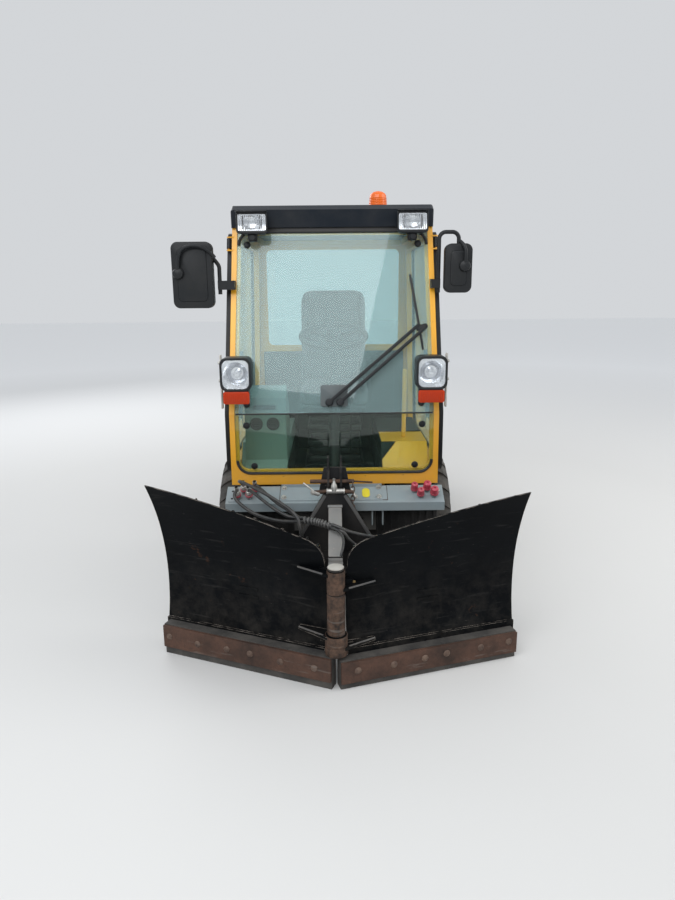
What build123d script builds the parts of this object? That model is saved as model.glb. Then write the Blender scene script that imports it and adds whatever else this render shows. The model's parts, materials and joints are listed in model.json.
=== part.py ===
from build123d import *
from math import cos, radians, sin, sqrt, tan
import os

os.makedirs("parts", exist_ok=True)

# Compact implement carrier with a cab, centre-pivot steering and a front V plough.
# Millimetres. Z up, the floor at 0. The machine faces -Y, X is across.
# Left and right are as seen by someone who stands in front and looks at the cab.

# Where the main things stand along Y
PIVOT_Y = 180
FRONT_AXLE_AHEAD = 760
REAR_AXLE_BEHIND = 740
FRONT_AXLE_Y = PIVOT_Y - FRONT_AXLE_AHEAD
REAR_AXLE_Y = PIVOT_Y + REAR_AXLE_BEHIND

# Wheels
TYRE_R = 360
TYRE_W = 270
TYRE_SHOULDER = 45
RIM_R = 195
RIM_WALL = 10
TRACK_HALF = 460
RIM_HOLES = 8
RIM_HOLE_RING = 130
RIM_HOLE_R = 19
HUB_R = 62
HUB_FACE = 210
AXLE_R = 48
SEAT_GAP = 0.3

# Cab, seen from the side
CAB_NOSE_Y = -1100
CAB_FOOT_BACK = 50
CAB_BROW_BACK = 210
CAB_REAR_Y = 60
CAB_BOTTOM_Z = 690
CAB_KINK_Z = 1040
CAB_TOP_Z = 1870
CAB_HALF_BOTTOM = 490
CAB_HALF_TOP = 460
CAB_WALL = 30
PILLAR_FACE = 24
PILLAR_DEPTH = 62
SEAL_LAP = 16
GLASS = 6
GLASS_RECESS = 4
REBATE = GLASS + GLASS_RECESS + SEAT_GAP
PANE_LOW_Z = 748
PANE_HIGH_Z = 1852
PANE_GAP = 3
PANE_CORNER = 60
REAR_PANE_LOW_Z = 1260
REAR_PANE_HIGH_Z = 1820
REAR_PANE_HALF = 395

# Doors
DOOR_GAP = 5
DOOR_THICK = 18
DOOR_LOW_Z = 745
DOOR_HIGH_Z = 1850
DOOR_FRONT_BACK = 22
DOOR_REAR_Y = 20
DOOR_BAR = 42
DOOR_CORNER = 55
HINGE_PIN_R = 4
HINGE_KNUCKLE_R = 10
HINGE_LONG = 44
HINGE_ZS = (1120, 1800)

# Roof
ROOF_FRONT_Y = -912
ROOF_REAR_Y = 95
ROOF_HALF = 463
ROOF_LOW_Z = CAB_TOP_Z + SEAT_GAP
ROOF_THICK = 98

# Cab floor and wheel arches
FLOOR_Z = 612
FLOOR_SHEET = 8
FLOOR_HALF = 232
ARCH_TOP_Z = 860
ARCH_HALF_LONG = 410
ARCH_CHAMFER = 100
SILL_CUT_HALF = 300
SILL_CUT_Z = 742

# Front beam with its sloping top
BEAM_FACE_Y = -1168
BEAM_DEEP = 100
BEAM_HALF = 507
BEAM_LOW_Z = 594
BEAM_EDGE_Z = 633
BEAM_TOP_Z = 686
BEAM_SHEET = 6

# Frames
RAIL_HALF = 165
RAIL_W = 60
RAIL_LOW_Z = 470
RAIL_HIGH_Z = 592
RAIL_FRONT_Y = -1085
PIVOT_R = 30
PIVOT_LUG_R = 62
PIVOT_LUG = 24
PIVOT_ZS = (330, 560)
REAR_RAIL_HALF = 150
REAR_END_Y = 1613

# Level lift under the beam
ARM_BACK_Y = -850
ARM_BACK_Z = 330
ARM_LONG = 320
ARM_DROP = 15
ARM_X = 110
ARM_TALL = 46
ARM_THICK = 18
LINK_RISE = 110
ARM_PIN_R = 14
LIFT_BASE_Y = -800
LIFT_BASE_Z = 545
LIFT_EAR_ALONG = 218
LIFT_EAR_UP = 46

# Hitch carrier on the machine and the plough's frame that hangs on it
CARRIER_BACK_Y = -1188
CARRIER_DEEP = 46
HITCH_TOP_Z = 690
HITCH_TOP_HALF = 52
HITCH_LOW_Z = 205
HITCH_LOW_HALF = 325
HITCH_BAR = 46
FRAME_PLATE = 14
FRAME_GAP = 0.3
PRONG_TOP_Z = 864
TOWER_TOP_Z = 812
TOWER_PIN_Z = 750
CROSS_PIN_R = 9
CARRIER_CROSS_HALF = 205

# Plough
HINGE_Y = -1645
TUBE_R = 26
TUBE_LOW_Z = 143.5
TUBE_HIGH_Z = 512
COLUMN_R = 36
COLUMN_ZS = (232, 408)
CAP_R = 33
CAP_THICK = 10
SLEEVE_R = 46
SLEEVE_GAP = 0.6
KNUCKLE_GAP = 2
LUG_LONG = 172
LUG_PLATE = 12
BLADE_ARC_R = 960
BLADE_ARC_Z = 330
BLADE_PLATE = 6
BLADE_FLAT = 12
BLADE_FLAT_LOW_Z = 34
BLADE_FLAT_HIGH_Z = 152
BLADE_FOOT = 12.35
# the arc's centre stands so far ahead that the blade's foot stays where it is
BLADE_ARC_N = sqrt(BLADE_ARC_R**2 - (BLADE_ARC_Z - BLADE_FLAT_HIGH_Z) ** 2) - BLADE_FOOT
WING_LONG = 830
WING_ROOT = 52
BAR_ROOT = 3.5
BAR_THICK = 45
BAR_OVER_STRIP = 4
STRIP_THICK = 12
STRIP_LONG = 815
EDGE_ROOT_Z = 541
EDGE_BEND_U = 140
EDGE_BEND_Z = 632
EDGE_MID_U = 413
SWEEP_LEFT = 22.5
SWEEP_RIGHT = 17.5
RAM_WING_U = 420
RAM_WING_N = -80
RAM_Z = 330
RAM_BASE_X = 30
RAM_BASE_Y = -1304
WING_BARREL = 244
WING_ROD = 255
BOOM_W = 60
BOOM_TALL = 60
BOOM_BACK_Z = 655
BOOM_FRONT_Z = 512

# Rams: barrel, rod, eye and fork
RAM_BARREL_R = 24
RAM_ROD_R = 11
RAM_EYE_R = 20
RAM_EYE_W = 24
RAM_NECK = 18
RAM_PIN_R = 9
FORK_PLATE = 10
FORK_GAP = 2

# Rear half
BONNET_FRONT_Y = 350
BONNET_REAR_Y = 1575
BONNET_HALF = 300
BONNET_LOW_Z = 640
BONNET_TOP_Z = 1130
BONNET_SHEET = 8
LOUVRE_COUNT = 9
LOUVRE_PITCH = 34
LOUVRE_W = 15
LOUVRE_ZS = (800, 985)
LOUVRE_START_Y = BONNET_FRONT_Y + 130
GUARD_SHEET = 6
GUARD_ARM_Z = 616

# Shared helpers


def side(points, x0, x1, radius=0):
    """An outline in the side view, points as (y, z), pushed from x0 to x1."""
    outline = Polygon(*points, align=None)
    if radius:
        outline = fillet(outline.vertices(), radius)
    plane = Plane(origin=(x0, 0, 0), x_dir=(0, 1, 0), z_dir=(1, 0, 0))
    return extrude(plane * outline, x1 - x0, dir=(1, 0, 0))


def front(points, y0, y1, radius=0, low_only=False):
    """An outline in the front view, points as (x, z), pushed from y0 to y1."""
    outline = Polygon(*points, align=None)
    if radius:
        corners = outline.vertices().sort_by(Axis.Y)
        outline = fillet(corners[:2] if low_only else corners, radius)
    plane = Plane(origin=(0, y1, 0), x_dir=(1, 0, 0), z_dir=(0, -1, 0))
    return extrude(plane * outline, y1 - y0, dir=(0, -1, 0))


def top(points, z0, z1, radius=0):
    """An outline in the plan view, points as (x, y), pushed from z0 to z1."""
    outline = Polygon(*points, align=None)
    if radius:
        outline = fillet(outline.vertices(), radius)
    return extrude(Plane.XY.offset(z0) * outline, z1 - z0, dir=(0, 0, 1))


def block(x0, x1, y0, y1, z0, z1):
    """A plain bar between two corners."""
    return Pos((x0 + x1) / 2, (y0 + y1) / 2, (z0 + z1) / 2) * Box(x1 - x0, y1 - y0, z1 - z0)


def bar(start, end, radius):
    """A round bar from one point to another."""
    start, end = Vector(*start), Vector(*end)
    way = end - start
    return extrude(Plane(origin=start, z_dir=way) * Circle(radius), way.length)


def pipe_path(points, radii, radius):
    """A bent round bar whose corners are tangent arcs."""
    path = FilletPolyline(*points, radius=radii)
    return sweep(Plane(origin=path @ 0, z_dir=path % 0) * Circle(radius), path)


def save(shape, name):
    """One sub-part to one file."""
    export_step(shape, f"parts/{name}.step")


# Cab outline: one line for the front, one for the sides


def cab_front_y(z):
    """The front face of the cab at a height: leaning out to the kink, then back to the brow."""
    if z < CAB_KINK_Z:
        return CAB_NOSE_Y + CAB_FOOT_BACK * (CAB_KINK_Z - z) / (CAB_KINK_Z - CAB_BOTTOM_Z)
    return CAB_NOSE_Y + CAB_BROW_BACK * (z - CAB_KINK_Z) / (CAB_TOP_Z - CAB_KINK_Z)


def cab_half(z):
    """Half the cab's width at a height: it narrows upwards."""
    share = (z - CAB_BOTTOM_Z) / (CAB_TOP_Z - CAB_BOTTOM_Z)
    return CAB_HALF_BOTTOM + (CAB_HALF_TOP - CAB_HALF_BOTTOM) * share


def front_band(low, high, start, end):
    """A layer that follows the front face, from start to end behind it, between two heights."""
    heights = [low, high] if not low < CAB_KINK_Z < high else [low, CAB_KINK_Z, high]
    outer = [(cab_front_y(z) + start, z) for z in heights]
    inner = [(cab_front_y(z) + end, z) for z in reversed(heights)]
    return side(outer + inner, -2 * CAB_HALF_BOTTOM, 2 * CAB_HALF_BOTTOM)


def cab_width(low, high, inset, low_corner=0):
    """A block as wide as the cab less an inset on each side, between two heights."""
    w0, w1 = cab_half(low) - inset, cab_half(high) - inset
    outline = [(-w0, low), (w0, low), (w1, high), (-w1, high)]
    return front(outline, CAB_NOSE_Y - 400, CAB_REAR_Y + 400, low_corner, True)


def side_wall(low, high, start, end, sign):
    """A layer that follows one side of the cab, from start to end outside it."""
    outline = [
        (sign * (cab_half(low) + start), low),
        (sign * (cab_half(low) + end), low),
        (sign * (cab_half(high) + end), high),
        (sign * (cab_half(high) + start), high),
    ]
    return front(outline, CAB_NOSE_Y - 400, CAB_REAR_Y + 400)


def cab_profile(inset):
    """The cab's side outline, as points, moved in by an inset."""
    return [
        (cab_front_y(CAB_BOTTOM_Z) + inset, CAB_BOTTOM_Z + inset),
        (CAB_NOSE_Y + inset, CAB_KINK_Z),
        (cab_front_y(CAB_TOP_Z) + inset, CAB_TOP_Z - inset),
        (CAB_REAR_Y - inset, CAB_TOP_Z - inset),
        (CAB_REAR_Y - inset, CAB_BOTTOM_Z + inset),
    ]


def door_outline(inset, radius):
    """The door's side outline as a plate across the whole cab."""
    low, high = DOOR_LOW_Z + inset, DOOR_HIGH_Z - inset
    points = [
        (cab_front_y(low) + DOOR_FRONT_BACK + inset, low),
        (CAB_NOSE_Y + DOOR_FRONT_BACK + inset, CAB_KINK_Z),
        (cab_front_y(high) + DOOR_FRONT_BACK + inset, high),
        (DOOR_REAR_Y - inset, high),
        (DOOR_REAR_Y - inset, low),
    ]
    return side(points, -2 * CAB_HALF_BOTTOM, 2 * CAB_HALF_BOTTOM, radius)


def hinge_point(z, sign):
    """A point of the door's leaning hinge line at a height."""
    return (sign * (cab_half(z) + DOOR_GAP + DOOR_THICK / 2), cab_front_y(z) + 4, z)


# Cab frame: pillars, rails, sills and the rear wall in one welded shell

cab_outer = side(cab_profile(0), -2 * CAB_HALF_BOTTOM, 2 * CAB_HALF_BOTTOM)
cab_outer &= cab_width(CAB_BOTTOM_Z, CAB_TOP_Z, 0)
cab_inner = side(cab_profile(CAB_WALL), -2 * CAB_HALF_BOTTOM, 2 * CAB_HALF_BOTTOM)
cab_inner &= cab_width(CAB_BOTTOM_Z, CAB_TOP_Z, CAB_WALL)
cab_frame = cab_outer - cab_inner

pane_rebate = front_band(PANE_LOW_Z, PANE_HIGH_Z, -20, REBATE)
cab_frame -= pane_rebate & cab_width(PANE_LOW_Z, PANE_HIGH_Z, PILLAR_FACE, PANE_CORNER)
hole_low, hole_high = PANE_LOW_Z + SEAL_LAP, PANE_HIGH_Z - SEAL_LAP
pane_hole = front_band(hole_low, hole_high, -20, 2 * CAB_WALL)
cab_frame -= pane_hole & cab_width(hole_low, hole_high, PILLAR_FACE + SEAL_LAP, PANE_CORNER - SEAL_LAP)

door_hole = [
    (cab_front_y(DOOR_LOW_Z + DOOR_BAR) + PILLAR_DEPTH, DOOR_LOW_Z + DOOR_BAR),
    (CAB_NOSE_Y + PILLAR_DEPTH, CAB_KINK_Z),
    (cab_front_y(DOOR_HIGH_Z - DOOR_BAR) + PILLAR_DEPTH, DOOR_HIGH_Z - DOOR_BAR),
    (DOOR_REAR_Y - DOOR_BAR, DOOR_HIGH_Z - DOOR_BAR),
    (DOOR_REAR_Y - DOOR_BAR, DOOR_LOW_Z + DOOR_BAR),
]
cab_frame -= side(door_hole, -2 * CAB_HALF_BOTTOM, 2 * CAB_HALF_BOTTOM, CAB_WALL)
cab_frame -= front(
    [
        (-REAR_PANE_HALF, REAR_PANE_LOW_Z),
        (REAR_PANE_HALF, REAR_PANE_LOW_Z),
        (REAR_PANE_HALF, REAR_PANE_HIGH_Z),
        (-REAR_PANE_HALF, REAR_PANE_HIGH_Z),
    ],
    CAB_REAR_Y - 2 * CAB_WALL,
    CAB_REAR_Y + CAB_WALL,
    CAB_WALL,
)
# The roof and the floor close the shell, so its own top and bottom are open rings
cab_frame -= block(
    -CAB_HALF_TOP + 2 * CAB_WALL,
    CAB_HALF_TOP - 2 * CAB_WALL,
    cab_front_y(CAB_TOP_Z) + 2 * CAB_WALL,
    CAB_REAR_Y - 2 * CAB_WALL,
    CAB_TOP_Z - 2 * CAB_WALL,
    CAB_TOP_Z + CAB_WALL,
)
cab_frame -= block(
    -CAB_HALF_BOTTOM + 2 * CAB_WALL,
    CAB_HALF_BOTTOM - 2 * CAB_WALL,
    cab_front_y(CAB_BOTTOM_Z) + 2 * CAB_WALL,
    CAB_REAR_Y - 2 * CAB_WALL,
    CAB_BOTTOM_Z - CAB_WALL,
    CAB_BOTTOM_Z + 2 * CAB_WALL,
)
# Flat-topped cut-outs over the front wheels
for sign in (-1, 1):
    cut = side(
        [
            (FRONT_AXLE_Y - SILL_CUT_HALF, CAB_BOTTOM_Z - 10),
            (FRONT_AXLE_Y - SILL_CUT_HALF, CAB_BOTTOM_Z),
            (FRONT_AXLE_Y - SILL_CUT_HALF + 50, SILL_CUT_Z),
            (FRONT_AXLE_Y + SILL_CUT_HALF - 50, SILL_CUT_Z),
            (FRONT_AXLE_Y + SILL_CUT_HALF, CAB_BOTTOM_Z),
            (FRONT_AXLE_Y + SILL_CUT_HALF, CAB_BOTTOM_Z - 10),
        ],
        *sorted((sign * 200, sign * 600)),
    )
    cab_frame -= cut
# Hinge straps: two ears from each front pillar with the door's pin between them
STRAP = 6
for hinge_z in HINGE_ZS:
    for ear_z in (hinge_z - HINGE_LONG / 2 - STRAP - 4, hinge_z + HINGE_LONG / 2 + 4):
        for sign in (-1, 1):
            cx, cy = hinge_point(ear_z, sign)[:2]
            inner_x = sign * (cab_half(ear_z) - CAB_WALL / 2)
            ear = top(
                [
                    (inner_x, cy - HINGE_KNUCKLE_R + 8),
                    (cx, cy - HINGE_KNUCKLE_R),
                    (cx + sign * HINGE_KNUCKLE_R, cy),
                    (cx, cy + HINGE_KNUCKLE_R),
                    (inner_x, cy + HINGE_KNUCKLE_R + 8),
                ],
                ear_z,
                ear_z + STRAP,
            )
            cab_frame += ear
    for sign in (-1, 1):
        cab_frame += bar(
            hinge_point(hinge_z - HINGE_LONG / 2 - STRAP - 2, sign),
            hinge_point(hinge_z + HINGE_LONG / 2 + STRAP + 2, sign),
            HINGE_PIN_R,
        )
save(cab_frame, "cab_frame")

# Windscreen in two panes and the rear window

pane_fit = PILLAR_FACE + SEAT_GAP
pane_layer = (GLASS_RECESS, GLASS_RECESS + GLASS)
upper_pane = front_band(CAB_KINK_Z + PANE_GAP, PANE_HIGH_Z - SEAT_GAP, *pane_layer)
upper_pane &= cab_width(CAB_KINK_Z, PANE_HIGH_Z, pane_fit)
save(upper_pane, "windscreen_upper")

lower_pane = front_band(PANE_LOW_Z + SEAT_GAP, CAB_KINK_Z, *pane_layer)
lower_pane &= cab_width(PANE_LOW_Z + SEAT_GAP, CAB_KINK_Z, pane_fit, PANE_CORNER)
save(lower_pane, "windscreen_lower")

pane_half = REAR_PANE_HALF - SEAT_GAP
rear_window = front(
    [
        (-pane_half, REAR_PANE_LOW_Z + SEAT_GAP),
        (pane_half, REAR_PANE_LOW_Z + SEAT_GAP),
        (pane_half, REAR_PANE_HIGH_Z - SEAT_GAP),
        (-pane_half, REAR_PANE_HIGH_Z - SEAT_GAP),
    ],
    CAB_REAR_Y - CAB_WALL / 2 - GLASS / 2,
    CAB_REAR_Y - CAB_WALL / 2 + GLASS / 2,
    CAB_WALL - SEAT_GAP,
)
save(rear_window, "rear_window")

# Doors: a framed plate with its pane, hung on two leaning knuckles

for name, sign in (("left", -1), ("right", 1)):
    door_layer = side_wall(CAB_BOTTOM_Z, CAB_TOP_Z, DOOR_GAP, DOOR_GAP + DOOR_THICK, sign)
    door = door_layer & door_outline(0, DOOR_CORNER)
    door -= door_outline(DOOR_BAR, DOOR_CORNER - DOOR_BAR + 20)
    for hinge_z in HINGE_ZS:
        low = hinge_point(hinge_z - HINGE_LONG / 2, sign)
        high = hinge_point(hinge_z + HINGE_LONG / 2, sign)
        leaf = side(
            [
                (low[1], hinge_z - HINGE_LONG / 2 + 6),
                (low[1] + 45, hinge_z - HINGE_LONG / 2 + 6),
                (high[1] + 45, hinge_z + HINGE_LONG / 2 - 6),
                (high[1], hinge_z + HINGE_LONG / 2 - 6),
            ],
            -2 * CAB_HALF_BOTTOM,
            2 * CAB_HALF_BOTTOM,
        )
        mid = DOOR_GAP + DOOR_THICK / 2
        leaf &= side_wall(CAB_BOTTOM_Z, CAB_TOP_Z, mid - 4, mid + 4, sign)
        door += leaf + bar(low, high, HINGE_KNUCKLE_R)
        door -= bar(
            hinge_point(hinge_z - HINGE_LONG, sign),
            hinge_point(hinge_z + HINGE_LONG, sign),
            HINGE_PIN_R + SLEEVE_GAP,
        )
    save(door, f"door_{name}")
    mid = DOOR_GAP + DOOR_THICK / 2
    glass = side_wall(CAB_BOTTOM_Z, CAB_TOP_Z, mid - GLASS / 2, mid + GLASS / 2, sign)
    glass &= door_outline(DOOR_BAR + SEAT_GAP, DOOR_CORNER - DOOR_BAR + 20 - SEAT_GAP)
    save(glass, f"door_glass_{name}")

# Roof: a moulded cap with a deeper fascia over the windscreen

roof = side(
    [
        (ROOF_FRONT_Y + 8, ROOF_LOW_Z),
        (ROOF_FRONT_Y, ROOF_LOW_Z + ROOF_THICK - 22),
        (ROOF_FRONT_Y + 40, ROOF_LOW_Z + ROOF_THICK),
        (ROOF_REAR_Y - 60, ROOF_LOW_Z + ROOF_THICK),
        (ROOF_REAR_Y, ROOF_LOW_Z + ROOF_THICK - 40),
        (ROOF_REAR_Y, ROOF_LOW_Z),
    ],
    -ROOF_HALF,
    ROOF_HALF,
)
roof_edges = roof.edges().filter_by(lambda e: abs(abs(e.center().X) - ROOF_HALF) < 0.01)
roof = fillet(roof_edges.filter_by(lambda e: e.center().Z > ROOF_LOW_Z + 1), 12)
save(roof, "roof")

# Cab floor: a deep centre pan, ledges, and a faceted arch over each front wheel

ledge_z = CAB_BOTTOM_Z + CAB_WALL + SEAT_GAP
ledge_top = ledge_z + FLOOR_SHEET
wall_in = CAB_WALL + SEAT_GAP
ledge_half = cab_half(ledge_z) - wall_in
pan = [
    (-ledge_half, ledge_top),
    (-FLOOR_HALF, ledge_top),
    (-FLOOR_HALF, FLOOR_Z + FLOOR_SHEET),
    (FLOOR_HALF, FLOOR_Z + FLOOR_SHEET),
    (FLOOR_HALF, ledge_top),
    (ledge_half, ledge_top),
    (ledge_half, ledge_z),
    (FLOOR_HALF + FLOOR_SHEET, ledge_z),
    (FLOOR_HALF + FLOOR_SHEET, FLOOR_Z),
    (-FLOOR_HALF - FLOOR_SHEET, FLOOR_Z),
    (-FLOOR_HALF - FLOOR_SHEET, ledge_z),
    (-ledge_half, ledge_z),
]
floor_front = cab_front_y(CAB_BOTTOM_Z) + 2 * CAB_WALL + SEAT_GAP
floor_rear = CAB_REAR_Y - 2 * CAB_WALL - SEAT_GAP
cab_floor = front(pan, floor_front, floor_rear)
toe_board = [
    (-FLOOR_HALF - FLOOR_SHEET, FLOOR_Z),
    (FLOOR_HALF + FLOOR_SHEET, FLOOR_Z),
    (FLOOR_HALF + FLOOR_SHEET, ledge_top),
    (-FLOOR_HALF - FLOOR_SHEET, ledge_top),
]
cab_floor += front(toe_board, floor_front, floor_front + FLOOR_SHEET)
cab_floor += front(toe_board, floor_rear - FLOOR_SHEET, floor_rear)


def arch_outline(inset):
    """The faceted arch in side view, as points."""
    reach = ARCH_HALF_LONG - inset
    return [
        (FRONT_AXLE_Y - reach, ledge_z - (inset > 0) * FLOOR_SHEET),
        (FRONT_AXLE_Y - reach, ledge_z),
        (FRONT_AXLE_Y - reach + ARCH_CHAMFER, ARCH_TOP_Z - inset),
        (FRONT_AXLE_Y + reach - ARCH_CHAMFER, ARCH_TOP_Z - inset),
        (FRONT_AXLE_Y + reach, ledge_z),
        (FRONT_AXLE_Y + reach, ledge_z - (inset > 0) * FLOOR_SHEET),
    ]


arch_outer_x = cab_half(ARCH_TOP_Z) - wall_in
for sign in (-1, 1):
    x0, x1 = sorted((sign * FLOOR_HALF, sign * arch_outer_x))
    arch = side(arch_outline(0)[1:5], x0, x1)
    hollow_x = sorted((sign * (FLOOR_HALF + FLOOR_SHEET), sign * (arch_outer_x - FLOOR_SHEET)))
    cab_floor += arch
    cab_floor -= side(arch_outline(FLOOR_SHEET), *hollow_x)
save(cab_floor, "cab_floor")

# Seat: a pedestal with runners, a cushion and a high back

SEAT_Y = -330
SEAT_HALF = 200
CUSHION_Z = 980
CUSHION_THICK = 100
CUSHION_LONG = 440
BACK_TOP_Z = 1600
BACK_THICK = 100
BACK_LEAN = 85
BOLSTER = 42
BOLSTER_PROUD = 16
PEDESTAL_HALF = 150
PEDESTAL_LONG = 340
RUNNER_W = 34
cushion_front_y = SEAT_Y - CUSHION_LONG * 0.57
cushion_back_y = cushion_front_y + CUSHION_LONG
back_low_y = cushion_back_y - BACK_THICK * 0.6
pedestal_low_z = FLOOR_Z + FLOOR_SHEET
seat = block(
    -PEDESTAL_HALF,
    PEDESTAL_HALF,
    SEAT_Y - PEDESTAL_LONG / 2,
    SEAT_Y + PEDESTAL_LONG / 2,
    pedestal_low_z,
    CUSHION_Z,
)
seat = fillet(seat.edges().filter_by(Axis.Z), 30)
for sign in (-1, 1):
    x0, x1 = sorted((sign * (PEDESTAL_HALF - RUNNER_W), sign * PEDESTAL_HALF))
    seat += block(x0, x1, cushion_front_y + 20, cushion_back_y - 20, CUSHION_Z - 26, CUSHION_Z)


def cushion(x0, x1, proud):
    """The seat's cushion between two places across, its nose rolled down, and proud above it."""
    return side(
        [
            (cushion_front_y, CUSHION_Z),
            (cushion_back_y, CUSHION_Z),
            (cushion_back_y, CUSHION_Z + CUSHION_THICK + proud),
            (cushion_front_y + 90, CUSHION_Z + CUSHION_THICK + proud + 12),
            (cushion_front_y, CUSHION_Z + CUSHION_THICK * 0.6 + proud),
        ],
        x0,
        x1,
        28,
    )


def backrest(x0, x1, proud):
    """The seat's back between two places across, leaning, and proud ahead of it."""
    low_z = CUSHION_Z + CUSHION_THICK * 0.7
    return side(
        [
            (back_low_y - proud, low_z),
            (back_low_y + BACK_THICK, low_z),
            (back_low_y + BACK_THICK + BACK_LEAN, BACK_TOP_Z),
            (back_low_y + BACK_LEAN + 15 - proud, BACK_TOP_Z),
        ],
        x0,
        x1,
        25,
    )


seat += cushion(-SEAT_HALF, SEAT_HALF, 0) + backrest(-SEAT_HALF, SEAT_HALF, 0)
for sign in (-1, 1):
    x0, x1 = sorted((sign * (SEAT_HALF - BOLSTER), sign * SEAT_HALF))
    seat += cushion(x0, x1, BOLSTER_PROUD) + backrest(x0, x1, BOLSTER_PROUD)
save(seat, "seat")

# Console beside the seat and the steering column

CONSOLE_X = -330
console = side(
    [
        (-950, ledge_top + SEAT_GAP),
        (-940, 1090),
        (-860, 1140),
        (-700, 1010),
        (-700, ledge_top + SEAT_GAP),
    ],
    CONSOLE_X - 100,
    CONSOLE_X + 98,
)
console &= cab_width(CAB_BOTTOM_Z, CAB_TOP_Z, CAB_WALL + 5)
console -= side(arch_outline(-SEAT_GAP)[1:5], CONSOLE_X - 200, CONSOLE_X + 200)
save(console, "console")

COLUMN_Y = -800
WHEEL_Z = 1355
WHEEL_RING_R = 165
WHEEL_RIM_R = 14
WHEEL_TILT = 25
steering = bar((0, COLUMN_Y - 60, FLOOR_Z - 20), (0, COLUMN_Y + 160, WHEEL_Z), 28)
steering -= block(-200, 200, COLUMN_Y - 300, COLUMN_Y + 300, 0, FLOOR_Z + FLOOR_SHEET + SEAT_GAP)
ring_place = Pos(0, COLUMN_Y + 160, WHEEL_Z) * Rot(-WHEEL_TILT, 0, 0)
steering += ring_place * Torus(WHEEL_RING_R, WHEEL_RIM_R)
steering += ring_place * Cylinder(46, 26)
for spoke in (0, 120, 240):
    steering += ring_place * Rot(0, 0, spoke + 90) * Pos(WHEEL_RING_R / 2, 0, 0) * Box(
        WHEEL_RING_R, 24, 10
    )
save(steering, "steering")

# Front axle, frame rails and the pivot yoke

front_axle = bar((-HUB_FACE, FRONT_AXLE_Y, TYRE_R), (HUB_FACE, FRONT_AXLE_Y, TYRE_R), AXLE_R)
front_axle += bar((-60, FRONT_AXLE_Y, TYRE_R), (60, FRONT_AXLE_Y, TYRE_R), 104)
for sign in (-1, 1):
    x0, x1 = sorted((sign * (HUB_FACE - 50), sign * HUB_FACE))
    front_axle += bar((x0, FRONT_AXLE_Y, TYRE_R), (x1, FRONT_AXLE_Y, TYRE_R), 95)
    post = side(
        [
            (FRONT_AXLE_Y - 60, RAIL_LOW_Z),
            (FRONT_AXLE_Y + 60, RAIL_LOW_Z),
            (FRONT_AXLE_Y + 60, TYRE_R),
            (FRONT_AXLE_Y - 60, TYRE_R),
        ],
        sign * RAIL_HALF - RAIL_W / 2,
        sign * RAIL_HALF + RAIL_W / 2,
    )
    front_axle += post
save(front_axle, "front_axle")

ARM_FRONT_Y = ARM_BACK_Y - ARM_LONG * cos(radians(ARM_DROP))
ARM_FRONT_Z = ARM_BACK_Z - ARM_LONG * sin(radians(ARM_DROP))

PIVOT_YOKE_Y = PIVOT_Y - 110
STEER_LEVER = 100
STEER_PIN_X = -STEER_LEVER
STEER_BASE_Y = PIVOT_Y - 470
STEER_Z = 445
front_frame = None
for sign in (-1, 1):
    x0, x1 = sign * RAIL_HALF - RAIL_W / 2, sign * RAIL_HALF + RAIL_W / 2
    rail = block(x0, x1, RAIL_FRONT_Y, PIVOT_YOKE_Y, RAIL_LOW_Z + SEAT_GAP, RAIL_HIGH_Z)
    front_frame = rail if front_frame is None else front_frame + rail
# Cross members tie the rails, high enough for the lift's links to come up under them
CROSS_TALL = 60
for y in (RAIL_FRONT_Y + 30, FRONT_AXLE_Y + 170):
    front_frame += block(-RAIL_HALF, RAIL_HALF, y - 30, y + 30, RAIL_HIGH_Z - CROSS_TALL, RAIL_HIGH_Z)
PLATE_IN = ARM_X + ARM_THICK / 2 + 6
PLATE_OUT = PLATE_IN + 16
for sign in (-1, 1):
    x0, x1 = sorted((sign * PLATE_IN, sign * PLATE_OUT))
    front_frame += side(
        [
            (ARM_BACK_Y - 60, RAIL_LOW_Z + 40),
            (ARM_BACK_Y + 60, RAIL_LOW_Z + 40),
            (ARM_BACK_Y + 45, ARM_BACK_Z - 30),
            (ARM_BACK_Y - 45, ARM_BACK_Z - 30),
        ],
        x0,
        x1,
    )
for pin_z in (ARM_BACK_Z, ARM_BACK_Z + LINK_RISE):
    front_frame += bar((-PLATE_OUT, ARM_BACK_Y, pin_z), (PLATE_OUT, ARM_BACK_Y, pin_z), ARM_PIN_R)
# Lift ram's top bracket between the rails
front_frame += block(-RAIL_HALF, RAIL_HALF, LIFT_BASE_Y - 30, LIFT_BASE_Y + 30, 575, RAIL_HIGH_Z)
for sign in (-1, 1):
    x0, x1 = sorted((sign * (RAM_EYE_W / 2 + FORK_GAP), sign * (RAM_EYE_W / 2 + FORK_GAP + FORK_PLATE)))
    front_frame += block(
        x0, x1, LIFT_BASE_Y - 24, LIFT_BASE_Y + 24, LIFT_BASE_Z - 24, RAIL_HIGH_Z - 5
    )
pin_half = RAM_EYE_W / 2 + FORK_GAP + FORK_PLATE + 4
front_frame += bar((-pin_half, LIFT_BASE_Y, LIFT_BASE_Z), (pin_half, LIFT_BASE_Y, LIFT_BASE_Z), RAM_PIN_R)
# Pivot yoke: a rear plate with two round lugs on the steering pivot's line
front_frame += block(-200, 200, PIVOT_YOKE_Y - 20, PIVOT_YOKE_Y, PIVOT_ZS[0] - 40, RAIL_HIGH_Z)
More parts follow.
